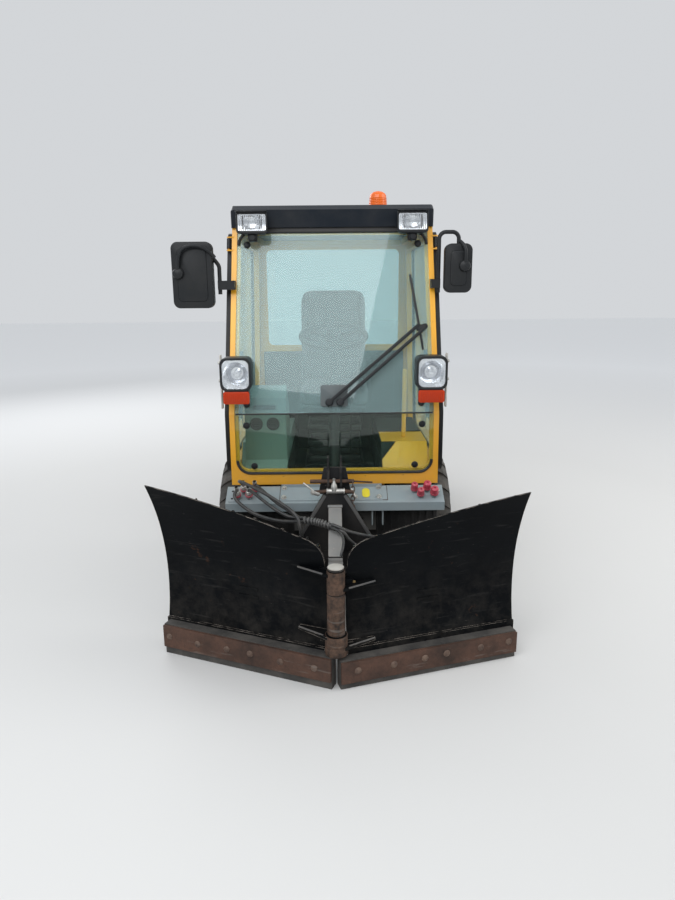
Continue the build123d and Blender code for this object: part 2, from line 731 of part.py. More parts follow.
# Seats for the beam on the rails' front ends
for sign in (-1, 1):
    front_frame += block(
        sign * RAIL_HALF - 25, sign * RAIL_HALF + 25, RAIL_FRONT_Y, RAIL_FRONT_Y + 14, RAIL_HIGH_Z - 5,
        BEAM_LOW_Z - SEAT_GAP
    )
for z in PIVOT_ZS:
    lug = top(
        [
            (-PIVOT_LUG_R, PIVOT_YOKE_Y - 10),
            (PIVOT_LUG_R, PIVOT_YOKE_Y - 10),
            (PIVOT_LUG_R, PIVOT_Y),
            (-PIVOT_LUG_R, PIVOT_Y),
        ],
        z - PIVOT_LUG / 2,
        z + PIVOT_LUG / 2,
    )
    lug += Pos(0, PIVOT_Y, z) * Cylinder(PIVOT_LUG_R, PIVOT_LUG)
    front_frame += lug
    front_frame -= Pos(0, PIVOT_Y, z) * Cylinder(PIVOT_R + SLEEVE_GAP, PIVOT_LUG * 2)
# Brackets that carry the cab and the beam
for sign in (-1, 1):
    for y in (CAB_NOSE_Y + 140, CAB_REAR_Y - 60):
        x0, x1 = sorted((sign * (RAIL_HALF - 20), sign * (CAB_HALF_BOTTOM - 20)))
        front_frame += block(x0, x1, y - 40, y + 20, RAIL_LOW_Z + 30, RAIL_LOW_Z + 60)
        x0, x1 = sorted((sign * (CAB_HALF_BOTTOM - 110), sign * (CAB_HALF_BOTTOM - 20)))
        front_frame += block(x0, x1, y - 40, y + 20, RAIL_LOW_Z + 30, CAB_BOTTOM_Z - SEAT_GAP)
# Steering ram's base fork on the left rail, and its way through the yoke plate
fork_in = RAM_EYE_W / 2 + FORK_GAP
for dz in (-1, 1):
    z0, z1 = sorted((STEER_Z + dz * fork_in, STEER_Z + dz * (fork_in + FORK_PLATE)))
    front_frame += block(
        -RAIL_HALF - 10, STEER_PIN_X + 24, STEER_BASE_Y - 24, STEER_BASE_Y + 24, z0, z1
    )
front_frame += block(
    -RAIL_HALF - 10,
    -RAIL_HALF + 10,
    STEER_BASE_Y - 24,
    STEER_BASE_Y + 24,
    STEER_Z - fork_in - FORK_PLATE,
    RAIL_LOW_Z + 20,
)
pin_half = fork_in + FORK_PLATE + 4
front_frame += bar(
    (STEER_PIN_X, STEER_BASE_Y, STEER_Z - pin_half),
    (STEER_PIN_X, STEER_BASE_Y, STEER_Z + pin_half),
    RAM_PIN_R,
)
front_frame -= bar(
    (STEER_PIN_X, PIVOT_YOKE_Y - 50, STEER_Z), (STEER_PIN_X, PIVOT_YOKE_Y + 20, STEER_Z), RAM_BARREL_R + 4
)
save(front_frame, "front_frame")

# Front beam: a folded plate with a sloping top, end plates and a bolted cover

BEAM_BACK_Y = BEAM_FACE_Y + BEAM_DEEP


def beam_outline(inset):
    """The beam in side view, as points, with its sheet moved in by an inset."""
    drop = inset * 1.2
    return [
        (BEAM_FACE_Y + inset, BEAM_LOW_Z - (inset > 0) * 20),
        (BEAM_FACE_Y + inset, BEAM_EDGE_Z - drop / 2),
        (BEAM_BACK_Y + (inset > 0) * 20, BEAM_TOP_Z - drop + (inset > 0) * 10.6),
        (BEAM_BACK_Y + (inset > 0) * 20, BEAM_LOW_Z - (inset > 0) * 20),
    ]


front_beam = side(beam_outline(0), -BEAM_HALF, BEAM_HALF)
front_beam -= side(beam_outline(BEAM_SHEET), -BEAM_HALF + BEAM_SHEET, BEAM_HALF - BEAM_SHEET)
for sign in (-1, 1):
    x0, x1 = sign * RAIL_HALF - RAIL_W / 2, sign * RAIL_HALF + RAIL_W / 2
    seat_web = side(beam_outline(BEAM_SHEET - 1)[0:4], x0, x1)
    seat_web &= block(x0, x1, BEAM_FACE_Y, BEAM_BACK_Y, BEAM_LOW_Z, BEAM_TOP_Z)
    front_beam += seat_web
beam_slope = (BEAM_TOP_Z - BEAM_EDGE_Z) / BEAM_DEEP


def beam_top_z(y):
    """Height of the beam's sloping top."""
    return BEAM_EDGE_Z + beam_slope * (y - BEAM_FACE_Y)


# Cover plate in the middle, couplers on the left, capped couplers on the right
COVER_X = (-252, 221)
COVER_SHEET = 4
front_beam += side(
    [
        (BEAM_FACE_Y + 12, beam_top_z(BEAM_FACE_Y + 12)),
        (BEAM_BACK_Y - 8, beam_top_z(BEAM_BACK_Y - 8)),
        (BEAM_BACK_Y - 8, beam_top_z(BEAM_BACK_Y - 8) + COVER_SHEET + 12),
        (BEAM_BACK_Y - 12, beam_top_z(BEAM_BACK_Y - 8) + COVER_SHEET + 12),
        (BEAM_BACK_Y - 12, beam_top_z(BEAM_BACK_Y - 12) + COVER_SHEET),
        (BEAM_FACE_Y + 12, beam_top_z(BEAM_FACE_Y + 12) + COVER_SHEET),
    ],
    *COVER_X,
)
# columns: x, how far behind the beam's face, radius, how far it stands up
COUPLERS = [
    (-452, 30, 13, 34),
    (-425, 62, 13, 34),
    (-398, 30, 13, 34),
    (-371, 62, 13, 34),
    (372, 62, 14, 26),
    (398, 30, 14, 26),
    (432, 66, 16, 28),
    (462, 34, 16, 28),
]
for x, back, radius, stand in COUPLERS:
    y = BEAM_FACE_Y + back
    front_beam += bar((x, y + 8, beam_top_z(y) - 4), (x, y - stand / 2, beam_top_z(y) + stand), radius)
# Square socket under the beam, to the right of the middle
SOCKET_X = 198
SOCKET_HALF = 27
SOCKET_WALL = 5
socket = block(
    SOCKET_X - SOCKET_HALF, SOCKET_X + SOCKET_HALF, BEAM_FACE_Y + 10, BEAM_FACE_Y + 70, 520, BEAM_LOW_Z + 2
)
socket -= block(
    SOCKET_X - SOCKET_HALF + SOCKET_WALL,
    SOCKET_X + SOCKET_HALF - SOCKET_WALL,
    BEAM_FACE_Y,
    BEAM_FACE_Y + 90,
    500,
    BEAM_LOW_Z - SOCKET_WALL,
)
front_beam += socket
save(front_beam, "front_beam")

# Headlamps with turn lamps below, on brackets from the front pillars

LAMP_X = 430
LAMP_Z = 1234
LAMP_W = 135
LAMP_TALL = 145
LAMP_FACE_Y = -1190
LAMP_DEEP = 78
BOWL_R = 54
BOWL_BACK_R = 22
BOWL_DEEP = 40
TURN_W = 105
TURN_TALL = 52
TURN_Z = 1131
lamps = []
for sign in (-1, 1):
    lamp = block(-LAMP_W / 2, LAMP_W / 2, 0, LAMP_DEEP, -LAMP_TALL / 2, LAMP_TALL / 2)
    lamp = fillet(lamp.edges().filter_by(Axis.Y), 26)
    bowl = Cone(BOWL_BACK_R, BOWL_R, BOWL_DEEP)
    lamp -= Pos(0, BOWL_DEEP / 2, 0) * Rot(90, 0, 0) * bowl
    lamp = Pos(sign * LAMP_X, LAMP_FACE_Y, LAMP_Z) * lamp
    lamp += block(
        sign * LAMP_X - TURN_W / 2,
        sign * LAMP_X + TURN_W / 2,
        LAMP_FACE_Y + 10,
        LAMP_FACE_Y + 60,
        TURN_Z - TURN_TALL / 2,
        LAMP_Z - LAMP_TALL / 2 + 10,
    )
    arm_z = (LAMP_Z - 45, LAMP_Z + 45)
    x0, x1 = sorted((sign * (cab_half(LAMP_Z) - 18), sign * (cab_half(LAMP_Z) - 4)))
    lamp += side(
        [
            (LAMP_FACE_Y + LAMP_DEEP - 5, arm_z[0]),
            (cab_front_y(arm_z[0]) - SEAT_GAP, arm_z[0]),
            (cab_front_y(arm_z[1]) - SEAT_GAP, arm_z[1]),
            (LAMP_FACE_Y + LAMP_DEEP - 5, arm_z[1]),
        ],
        x0,
        x1,
    )
    lamps.append(lamp)
save(lamps[0] + lamps[1], "front_lamps")

WORK_X = 360
WORK_Z = 1886
WORK_W = 116
WORK_TALL = 98
WORK_DEEP = 60
WORK_RIM = 9
WORK_RECESS = 24
WORK_BACK_Y = ROOF_FRONT_Y + 0.9
lamps = []
for sign in (-1, 1):
    lamp = block(
        sign * WORK_X - WORK_W / 2,
        sign * WORK_X + WORK_W / 2,
        WORK_BACK_Y - WORK_DEEP,
        WORK_BACK_Y,
        WORK_Z - WORK_TALL / 2,
        WORK_Z + WORK_TALL / 2,
    )
    lamp = fillet(lamp.edges().filter_by(Axis.Y), 10)
    lamp -= block(
        sign * WORK_X - WORK_W / 2 + WORK_RIM,
        sign * WORK_X + WORK_W / 2 - WORK_RIM,
        WORK_BACK_Y - WORK_DEEP - 1,
        WORK_BACK_Y - WORK_DEEP + WORK_RECESS,
        WORK_Z - WORK_TALL / 2 + WORK_RIM,
        WORK_Z + WORK_TALL / 2 - WORK_RIM,
    )
    lamps.append(lamp)
save(lamps[0] + lamps[1], "work_lamps")

BEACON_X = 250
BEACON_Y = -250
BEACON_R = 53
BEACON_TALL = 140
roof_top = ROOF_LOW_Z + ROOF_THICK
beacon = Pos(BEACON_X, BEACON_Y, roof_top + SEAT_GAP + 12) * Cylinder(BEACON_R + 4, 24)
dome = Pos(BEACON_X, BEACON_Y, roof_top + BEACON_TALL - BEACON_R) * Sphere(BEACON_R)
beacon += dome
beacon += bar(
    (BEACON_X, BEACON_Y, roof_top + 20), (BEACON_X, BEACON_Y, roof_top + BEACON_TALL - BEACON_R), BEACON_R
)
save(beacon, "beacon")

# Wiper: a plate on the pane, twin arms and the blade


def on_pane(x, z, off):
    """A point off the windscreen's outer face."""
    return (x, cab_front_y(z) + GLASS_RECESS - off, z)


wiper_low, wiper_high = 1068, 1170
wiper = side(
    [
        (cab_front_y(wiper_low) + GLASS_RECESS - SEAT_GAP, wiper_low),
        (cab_front_y(wiper_high) + GLASS_RECESS - SEAT_GAP, wiper_high),
        (cab_front_y(wiper_high) + GLASS_RECESS - 8, wiper_high),
        (cab_front_y(wiper_low) + GLASS_RECESS - 8, wiper_low),
    ],
    -54,
    54,
)
for x in (-12, 22):
    wiper += bar(on_pane(x, 1088, 6), on_pane(x, 1088, 34), 13)
    wiper += bar(on_pane(x, 1088, 28), on_pane(x + 400, 1420, 28), 6)
wiper += bar(on_pane(378, 1412, 28), on_pane(432, 1424, 28), 10)
wiper += bar(on_pane(395, 1420, 28), on_pane(395, 1420, 8), 7)
wiper += bar(on_pane(353, 1657, 9), on_pane(410, 1320, 9), 8)
save(wiper, "wiper")

# Mirrors on bent tubes clamped to the front pillars

MIRROR_TUBE_R = 9
# columns: side, post x, head centre x, head centre z, head width, head height, path points, radii
MIRRORS = [
    (-1, 512, 626, 1659, 182, 288, [(512, 1575), (512, 1700), (552, 1752), (610, 1752)], [30, 25]),
    (1, 478, 561, 1680, 122, 213, [(478, 1575), (478, 1838), (566, 1838), (566, 1700)], [30, 30]),
]
mirrors = []
for sign, post_x, head_x, head_z, head_w, head_tall, route, radii in MIRRORS:
    y = cab_front_y(1615) - 34
    points = [(sign * x, y, z) for x, z in route]
    arm = pipe_path(points, radii, MIRROR_TUBE_R)
    arm += side(
        [
            (y - 14, 1595),
            (cab_front_y(1595) - SEAT_GAP, 1595),
            (cab_front_y(1635) - SEAT_GAP, 1635),
            (y - 14, 1635),
        ],
        *sorted((sign * (cab_half(1615) - PILLAR_FACE + 2), sign * (post_x + 8))),
    )
    head = block(-head_w / 2, head_w / 2, -18, 18, -head_tall / 2, head_tall / 2)
    head = fillet(head.edges().filter_by(Axis.Y), 30)
    arm += Pos(sign * head_x, y - 22, head_z) * head
    mirrors.append(arm)
save(mirrors[0] + mirrors[1], "mirrors")

# Tank and step box behind the front wheels

BOX_FRONT_Y = -160
BOX_REAR_Y = 40
BOX_LOW_Z = 300
for name, sign in (("tool_box", -1), ("fuel_tank", 1)):
    x0, x1 = sorted((sign * 235, sign * 455))
    box = block(x0, x1, BOX_FRONT_Y, BOX_REAR_Y, BOX_LOW_Z, RAIL_LOW_Z + 30 - SEAT_GAP)
    save(fillet(box.edges().filter_by(Axis.X), 20), name)

# Level lift: lower arms with a cross tube, and the upper links

arm_slope = radians(ARM_DROP)


def arm_point(along, up):
    """A point in the lower arm's own line, as (y, z): along it from the rear pin, and above it."""
    y = ARM_BACK_Y - along * cos(arm_slope) - up * sin(arm_slope)
    z = ARM_BACK_Z - along * sin(arm_slope) + up * cos(arm_slope)
    return (y, z)


def arm_plate(x0, x1, rise):
    """One flat link between the rear pin and the front pin."""
    plate = side(
        [
            arm_point(0, -ARM_TALL / 2),
            arm_point(ARM_LONG, -ARM_TALL / 2),
            arm_point(ARM_LONG, ARM_TALL / 2),
            arm_point(0, ARM_TALL / 2),
        ],
        x0,
        x1,
    )
    for along in (0, ARM_LONG):
        y, z = arm_point(along, 0)
        plate += bar((x0, y, z), (x1, y, z), ARM_TALL / 2)
        plate -= bar((x0 - 5, y, z), (x1 + 5, y, z), ARM_PIN_R + SLEEVE_GAP)
    return Pos(0, 0, rise) * plate


lift_arms = None
for sign in (-1, 1):
    x0, x1 = sign * ARM_X - ARM_THICK / 2, sign * ARM_X + ARM_THICK / 2
    plate = arm_plate(x0, x1, 0)
    lift_arms = plate if lift_arms is None else lift_arms + plate
cross_y, cross_z = arm_point(LIFT_EAR_ALONG, 0)
lift_arms += bar((-ARM_X, cross_y, cross_z), (ARM_X, cross_y, cross_z), 19)
ear_y, ear_z = arm_point(LIFT_EAR_ALONG, LIFT_EAR_UP)
for sign in (-1, 1):
    x0, x1 = sorted((sign * fork_in, sign * (fork_in + FORK_PLATE)))
    lift_arms += side(
        [
            arm_point(LIFT_EAR_ALONG - 18, 0),
            arm_point(LIFT_EAR_ALONG + 18, 0),
            arm_point(LIFT_EAR_ALONG + 18, LIFT_EAR_UP + 16),
            arm_point(LIFT_EAR_ALONG - 18, LIFT_EAR_UP + 16),
        ],
        x0,
        x1,
    )
save(lift_arms, "lift_arms")

lift_links = []
for sign in (-1, 1):
    x0, x1 = sign * ARM_X - ARM_THICK / 2, sign * ARM_X + ARM_THICK / 2
    lift_links.append(arm_plate(x0, x1, LINK_RISE))
save(lift_links[0] + lift_links[1], "lift_links")

# Rams


def ram(base, tip, pin_axis, barrel_long, rod_long):
    """A barrel with a bored eye on its base pin, and a rod whose solid eye lies at the tip."""
    base, tip = Vector(*base), Vector(*tip)
    way = (tip - base).normalized()
    along = Vector(*pin_axis)
    half = along * (RAM_EYE_W / 2)
    neck_end = base + way * (RAM_EYE_R + RAM_NECK)
    barrel = bar(neck_end, base + way * barrel_long, RAM_BARREL_R)
    barrel += bar(base + way * (RAM_EYE_R * 0.6), neck_end + way, RAM_ROD_R)
    barrel += bar(base - half, base + half, RAM_EYE_R)
    barrel -= bar(base - half * 3, base + half * 3, RAM_PIN_R + SLEEVE_GAP)
    bore_start = base + way * (RAM_EYE_R + RAM_NECK + 4)
    barrel -= bar(bore_start, base + way * (barrel_long + 10), RAM_ROD_R + SLEEVE_GAP)
    rod = bar(tip - way * rod_long, tip - way * (RAM_EYE_R * 0.6), RAM_ROD_R)
    rod += bar(tip - half, tip + half, RAM_EYE_R)
    return barrel, rod


LIFT_BARREL = 235
LIFT_ROD = 190
lift_barrel, lift_rod = ram(
    (0, LIFT_BASE_Y, LIFT_BASE_Z), (0, ear_y, ear_z), (1, 0, 0), LIFT_BARREL, LIFT_ROD
)
save(lift_barrel, "lift_barrel")
save(lift_rod, "lift_rod")

# Hitch carrier: a welded triangle with a tower, on the lift's front pins

CARRIER_FRONT_Y = CARRIER_BACK_Y - CARRIER_DEEP
leg_slope = (HITCH_LOW_HALF - HITCH_TOP_HALF) / (HITCH_TOP_Z - HITCH_LOW_Z)


def triangle(low_z, top_z, top_half, inset):
    """The hitch triangle's outline in front view, as points, moved in by an inset."""
    leg = sqrt(1 + leg_slope**2)
    low_half = top_half + leg_slope * (top_z - low_z)
    shift = inset * leg - inset * leg_slope
    return [
        (-(low_half - shift), low_z + inset),
        (low_half - shift, low_z + inset),
        (max(top_half - inset * leg + inset * leg_slope, 3), top_z - inset),
        (-max(top_half - inset * leg + inset * leg_slope, 3), top_z - inset),
    ]


hitch_carrier = front(triangle(HITCH_LOW_Z, HITCH_TOP_Z, HITCH_TOP_HALF, 0), CARRIER_FRONT_Y, CARRIER_BACK_Y)
hitch_carrier -= front(
    [
        (-(HITCH_LOW_HALF - 70), HITCH_LOW_Z + HITCH_BAR),
        (HITCH_LOW_HALF - 70, HITCH_LOW_Z + HITCH_BAR),
        (12, HITCH_TOP_Z - 80),
        (-12, HITCH_TOP_Z - 80),
    ],
    CARRIER_FRONT_Y - 5,
    CARRIER_BACK_Y + 5,
)
hitch_carrier += front(
    [(-75, HITCH_TOP_Z - 4), (75, HITCH_TOP_Z - 4), (50, TOWER_TOP_Z), (-50, TOWER_TOP_Z)],
    CARRIER_BACK_Y - 10,
    CARRIER_BACK_Y,
)
# A cross member carries the upper pins
hitch_carrier += front(
    [
        (-CARRIER_CROSS_HALF, ARM_FRONT_Z + LINK_RISE - 22),
        (CARRIER_CROSS_HALF, ARM_FRONT_Z + LINK_RISE - 22),
        (CARRIER_CROSS_HALF - 24, ARM_FRONT_Z + LINK_RISE + 22),
        (-CARRIER_CROSS_HALF + 24, ARM_FRONT_Z + LINK_RISE + 22),
    ],
    CARRIER_BACK_Y - 20,
    CARRIER_BACK_Y,
)
for x in (-30, 28):
    hitch_carrier += block(x - 4, x + 4, CARRIER_FRONT_Y + 8, CARRIER_BACK_Y, HITCH_TOP_Z - 10, PRONG_TOP_Z)
cross_pin_y = CARRIER_FRONT_Y + 22
hitch_carrier += bar((-110, cross_pin_y, TOWER_PIN_Z), (85, cross_pin_y, TOWER_PIN_Z), CROSS_PIN_R)
for pin_z in (ARM_FRONT_Z, ARM_FRONT_Z + LINK_RISE):
    for sign in (-1, 1):
        for x in (ARM_X - ARM_THICK / 2 - 14, ARM_X + ARM_THICK / 2 + 2):
            x0, x1 = sorted((sign * x, sign * (x + 12)))
            hitch_carrier += block(x0, x1, CARRIER_BACK_Y - 5, ARM_FRONT_Y, pin_z - 22, pin_z + 22)
            hitch_carrier += bar((x0, ARM_FRONT_Y, pin_z), (x1, ARM_FRONT_Y, pin_z), 22)
        x0, x1 = sorted((sign * (ARM_X - ARM_THICK / 2 - 14), sign * (ARM_X + ARM_THICK / 2 + 14)))
        hitch_carrier += bar((x0, ARM_FRONT_Y, pin_z), (x1, ARM_FRONT_Y, pin_z), ARM_PIN_R)
save(hitch_carrier, "hitch_carrier")

# Plough frame: the flat triangle that hooks over the carrier, the boom, the web and the hinge tube

FRAME_BACK_Y = CARRIER_FRONT_Y - FRAME_GAP
FRAME_FRONT_Y = FRAME_BACK_Y - FRAME_PLATE
# Above this height the legs and the boom are joined by flat gussets
GUSSET_Z = 430
GUSSET_HALF = 138
plough_frame = front(
    triangle(HITCH_LOW_Z + 30, HITCH_TOP_Z + 10, HITCH_TOP_HALF, 0), FRAME_FRONT_Y, FRAME_BACK_Y
)
plough_frame -= front(
    [
        (-(HITCH_LOW_HALF - 70), HITCH_LOW_Z + 30 + HITCH_BAR),
        (HITCH_LOW_HALF - 70, HITCH_LOW_Z + 30 + HITCH_BAR),
        (GUSSET_HALF, GUSSET_Z),
        (-GUSSET_HALF, GUSSET_Z),
    ],
    FRAME_FRONT_Y - 5,
    FRAME_BACK_Y + 5,
)
# A hook plate over the carrier's top
plough_frame += block(
    -HITCH_TOP_HALF, HITCH_TOP_HALF, FRAME_FRONT_Y, CARRIER_FRONT_Y + 6, HITCH_TOP_Z + 2, HITCH_TOP_Z + 10
)
BOOM_END_Y = HINGE_Y + COLUMN_R + 24
BOOM_DROP_SLOPE = (BOOM_BACK_Z - BOOM_FRONT_Z) / (FRAME_BACK_Y - HINGE_Y)


def boom_top_z(y):
    """Height of the boom's sloping top face."""
    return BOOM_FRONT_Z + BOOM_DROP_SLOPE * (y - HINGE_Y)


plough_frame += side(
    [
        (FRAME_BACK_Y, boom_top_z(FRAME_BACK_Y)),
        (FRAME_BACK_Y, boom_top_z(FRAME_BACK_Y) - BOOM_TALL),
        (BOOM_END_Y, boom_top_z(BOOM_END_Y) - BOOM_TALL),
        (BOOM_END_Y, boom_top_z(BOOM_END_Y)),
    ],
    -BOOM_W / 2,
    BOOM_W / 2,
)
plough_frame += block(
    -BOOM_W / 2, BOOM_W / 2, HINGE_Y, BOOM_END_Y + 20, TUBE_HIGH_Z - 4, TUBE_HIGH_Z + 4
)
LOW_BOOM = (245, 290)
LOW_BOOM_HALF = 18
plough_frame += block(-LOW_BOOM_HALF, LOW_BOOM_HALF, HINGE_Y + TUBE_R - 5, FRAME_BACK_Y, *LOW_BOOM)
plough_frame += side(
    [
        (HINGE_Y + TUBE_R - 4, LOW_BOOM[1] - 2),
        (HINGE_Y + TUBE_R - 4, 405),
        (BOOM_END_Y + 4, 405),
        (BOOM_END_Y + 4, boom_top_z(BOOM_END_Y) - BOOM_TALL + 4),
        (HINGE_Y + 290, boom_top_z(HINGE_Y + 290) - BOOM_TALL + 4),
        (HINGE_Y + 260, LOW_BOOM[1] + 60),
        (HINGE_Y + 240, LOW_BOOM[1] - 2),
    ],
    -6,
    6,
)
plough_frame += Pos(0, HINGE_Y, (TUBE_LOW_Z + TUBE_HIGH_Z) / 2) * Cylinder(TUBE_R, TUBE_HIGH_Z - TUBE_LOW_Z)
plough_frame += Pos(0, HINGE_Y, sum(COLUMN_ZS) / 2) * Cylinder(COLUMN_R, COLUMN_ZS[1] - COLUMN_ZS[0])
plough_frame += Pos(0, HINGE_Y, TUBE_HIGH_Z + CAP_THICK / 2) * Cylinder(CAP_R, CAP_THICK)
for dz in (-1, 1):
    z0, z1 = sorted((RAM_Z + dz * fork_in, RAM_Z + dz * (fork_in + FORK_PLATE)))
    plough_frame += block(
        -RAM_BASE_X - 22, RAM_BASE_X + 22, RAM_BASE_Y - 22, FRAME_BACK_Y, z0, z1
    )
plough_frame += block(
    -RAM_BASE_X - 22, RAM_BASE_X + 22, FRAME_FRONT_Y, FRAME_BACK_Y, LOW_BOOM[0], RAM_Z + fork_in + FORK_PLATE
)
for x in (-RAM_BASE_X, RAM_BASE_X):
    half = fork_in + FORK_PLATE + 4
    plough_frame += bar((x, RAM_BASE_Y, RAM_Z - half), (x, RAM_BASE_Y, RAM_Z + half), RAM_PIN_R)
save(plough_frame, "plough_frame")

# Plough wings: a rolled mouldboard, ribs, knuckles round the hinge tube and a ram fork


def rolled(inner_r, outer_r, u0, u1, z0, z1):
    """A slice of the mouldboard's arc, as wide as u0 to u1, in the wing's own place."""
    plane = Plane(origin=(u0, -BLADE_ARC_N, BLADE_ARC_Z), x_dir=(0, 1, 0), z_dir=(1, 0, 0))
    ring = extrude(plane * (Circle(outer_r) - Circle(inner_r)), u1 - u0, dir=(1, 0, 0))
    return ring & block(u0, u1, -200, 200, z0, z1)


def wing_outline(margin, edge_zs):
    """The wing's front outline as a thick plate: a bowed top edge, turned down to the hinge."""
    mid_z, tip_z = edge_zs
    plane = Plane(origin=(0, 200, 0), x_dir=(1, 0, 0), z_dir=(0, -1, 0))
    root = (WING_ROOT, EDGE_ROOT_Z - margin)
    turn = (WING_ROOT + 20, EDGE_ROOT_Z + 52 - margin)
    bend = (EDGE_BEND_U, EDGE_BEND_Z - margin)
    tip = (WING_LONG, tip_z - margin)
    edges = ThreePointArc(root, turn, bend).edges()
    edges += ThreePointArc(bend, (EDGE_MID_U, mid_z - margin), tip).edges()
    edges += Polyline(tip, (WING_LONG, BLADE_FLAT_LOW_Z), (WING_ROOT, BLADE_FLAT_LOW_Z), root).edges()
    return extrude(plane * make_face(edges), 400, dir=(0, -1, 0))


RIB = 8
RIB_DEEP = 52
RIB_US = (94, 250, RAM_WING_U - 48, RAM_WING_U + 48, WING_LONG - 190, WING_LONG - 24)
SHELF_ZS = (236, 492)
WING_TOP_Z = 810

# columns: lowest and highest height of each sleeve, its radius, height of its lug plate
KNUCKLES = {
    "left": [(184, 228, SLEEVE_R, 216), (462, 506, COLUMN_R, 484)],
    "right": [(143.5, 182, SLEEVE_R, 169), (412, 460, COLUMN_R, 424)],
}
# heights of each wing's top edge at its middle and its tip
EDGE_ZS = {"left": (711, 798), "right": (696, 768)}
# lowest and highest height of each wing's wear strip
STRIP_ZS = {"left": (36, 138), "right": (28, 122)}


def wing(knuckles, edge_zs):
    """One wing in its own place: u along X from the hinge line, the front towards -Y."""
    back_r = BLADE_ARC_R + BLADE_PLATE
    board = rolled(BLADE_ARC_R, back_r, WING_ROOT, WING_LONG, BLADE_FLAT_HIGH_Z - 10, WING_TOP_Z)
    board += block(WING_ROOT, WING_LONG, 0, BLADE_FLAT, BLADE_FLAT_LOW_Z, BLADE_FLAT_HIGH_Z)
    for u in RIB_US:
        rib = rolled(back_r - 2, back_r + RIB_DEEP, u - RIB / 2, u + RIB / 2, 60, WING_TOP_Z)
        board += rib & wing_outline(28, edge_zs) & block(0, WING_LONG, 3, 300, 0, WING_TOP_Z)
    for z in SHELF_ZS:
        board += rolled(back_r - 2, back_r + RIB_DEEP, RIB_US[0], RIB_US[-1], z - RIB / 2, z + RIB / 2)
    board = Part() + (board & wing_outline(0, edge_zs)).solids().sort_by(SortBy.VOLUME)[-1]
    for low, high, radius, lug_z in knuckles:
        sleeve = Pos(0, 0, (low + high) / 2) * Cylinder(radius, high - low)
        lug = top(
            [
                (0, 6 - radius),
                (30, 6 - radius),
                (LUG_LONG, 4),
                (LUG_LONG, 32),
                (30, 32),
                (0, radius - 6),
            ],
            lug_z,
            lug_z + LUG_PLATE,
        )
        gusset = top([(20, 0), (WING_ROOT + 20, 0), (WING_ROOT + 20, 30), (20, 30)], low, high)
        board += sleeve + lug + gusset
        board -= Pos(0, 0, (low + high) / 2) * Cylinder(TUBE_R + SLEEVE_GAP, high - low + 10)
    back = -RAM_WING_N + RAM_EYE_R + 4
    for dz in (-1, 1):
        z0, z1 = sorted((RAM_Z + dz * fork_in, RAM_Z + dz * (fork_in + FORK_PLATE)))
        plate = block(RIB_US[2], RIB_US[3], 25, back, z0, z1)
        board += plate
    return board


for name, sign, swept in (("left", -1, SWEEP_LEFT), ("right", 1, SWEEP_RIGHT)):
    mouldboard = wing(KNUCKLES[name], EDGE_ZS[name])
    strip_low, strip_high = STRIP_ZS[name]
    edge = block(BAR_ROOT, STRIP_LONG, -BAR_THICK, 0, 0, strip_high + BAR_OVER_STRIP)
    strip = block(BAR_ROOT, STRIP_LONG, -BAR_THICK - STRIP_THICK, -BAR_THICK, strip_low, strip_high)
    place = Pos(0, HINGE_Y, 0) * Rot(0, 0, sign * swept)
    for piece, node in ((mouldboard, "mouldboard"), (edge, "plough_edge"), (strip, "wear_strip")):
        if sign < 0:
            piece = mirror(piece, Plane.YZ)
        save(place * piece, f"{node}_{name}")
    tip_local = Vector(sign * RAM_WING_U, -RAM_WING_N, RAM_Z)
    tip = Vector(0, HINGE_Y, 0) + tip_local.rotate(Axis.Z, sign * swept)
    barrel, rod = ram((sign * RAM_BASE_X, RAM_BASE_Y, RAM_Z), tuple(tip), (0, 0, 1), WING_BARREL, WING_ROD)
    save(barrel, f"wing_barrel_{name}")
    save(rod, f"wing_rod_{name}")

# Four hoses from the couplers on the beam to the wrap on the boom, and the bundle that goes on from it
HOSE_R = 7.5
WRAP_R = 15


def hose(points, radius):
    """A hose along a route whose corners are as round as their runs allow."""
    route = [Vector(*point) for point in points]
    radii = []
    for before, corner, after in zip(route, route[1:], route[2:]):
        run = min((corner - before).length, (after - corner).length)
        half_turn = radians((corner - before).get_angle(after - corner)) / 2
        radii.append(0.45 * run / tan(half_turn))
    return pipe_path(points, radii, radius)


COUPLER_HOSES = [
    [(-425, -1123.4, 700.6), (-425, -1137, 721), (-446, -1162, 744), (-398, -1206, 738), (-311, -1262, 711),
     (-220, -1324, 674), (-164, -1374, 644), (-150, -1392, 592), (-146, -1384, 548), (-134, -1332, 508),
     (-128, -1290, 494), (-128, -1249, 494)],
    [(-398, -1155.4, 683.6), (-398, -1169, 704), (-372, -1214, 704), (-284, -1288, 656), (-205, -1336, 624),
     (-148.5, -1351, 625.5), (-134.9, -1359.4, 626.8)],
    [(-452, -1155.4, 683.6), (-452, -1169, 704), (-466, -1200, 672), (-372, -1262, 616), (-250, -1318, 598),
     (-151.6, -1358.1, 612.3), (-138, -1366.5, 613.6)],
    [(-371, -1123.4, 700.6), (-371, -1137, 721), (-334, -1182, 704), (-262, -1248, 660), (-190, -1302, 634),
     (-143.6, -1345.1, 612.3), (-130, -1353.5, 613.6)],
]
hoses = [hose(points, HOSE_R) for points in COUPLER_HOSES]
save(hoses[0] + hoses[1] + hoses[2] + hoses[3], "coupler_hoses")
wrap = hose([(-134, -1360, 618), (-92, -1386, 622), (-54, -1404, 618), (-15, -1424, 611)], WRAP_R)
onward = [
    [(-13.6, -1424.7, 618.9), (-1.3, -1431, 616.6), (18, -1440, 612), (62, -1444, 592), (120, -1440, 576),
     (196, -1436, 562)],
    [(-15.8, -1423.6, 603), (-3.5, -1429.9, 600.8), (34, -1452, 600), (58, -1454, 560), (94, -1446, 528),
     (146, -1442, 508)],
]
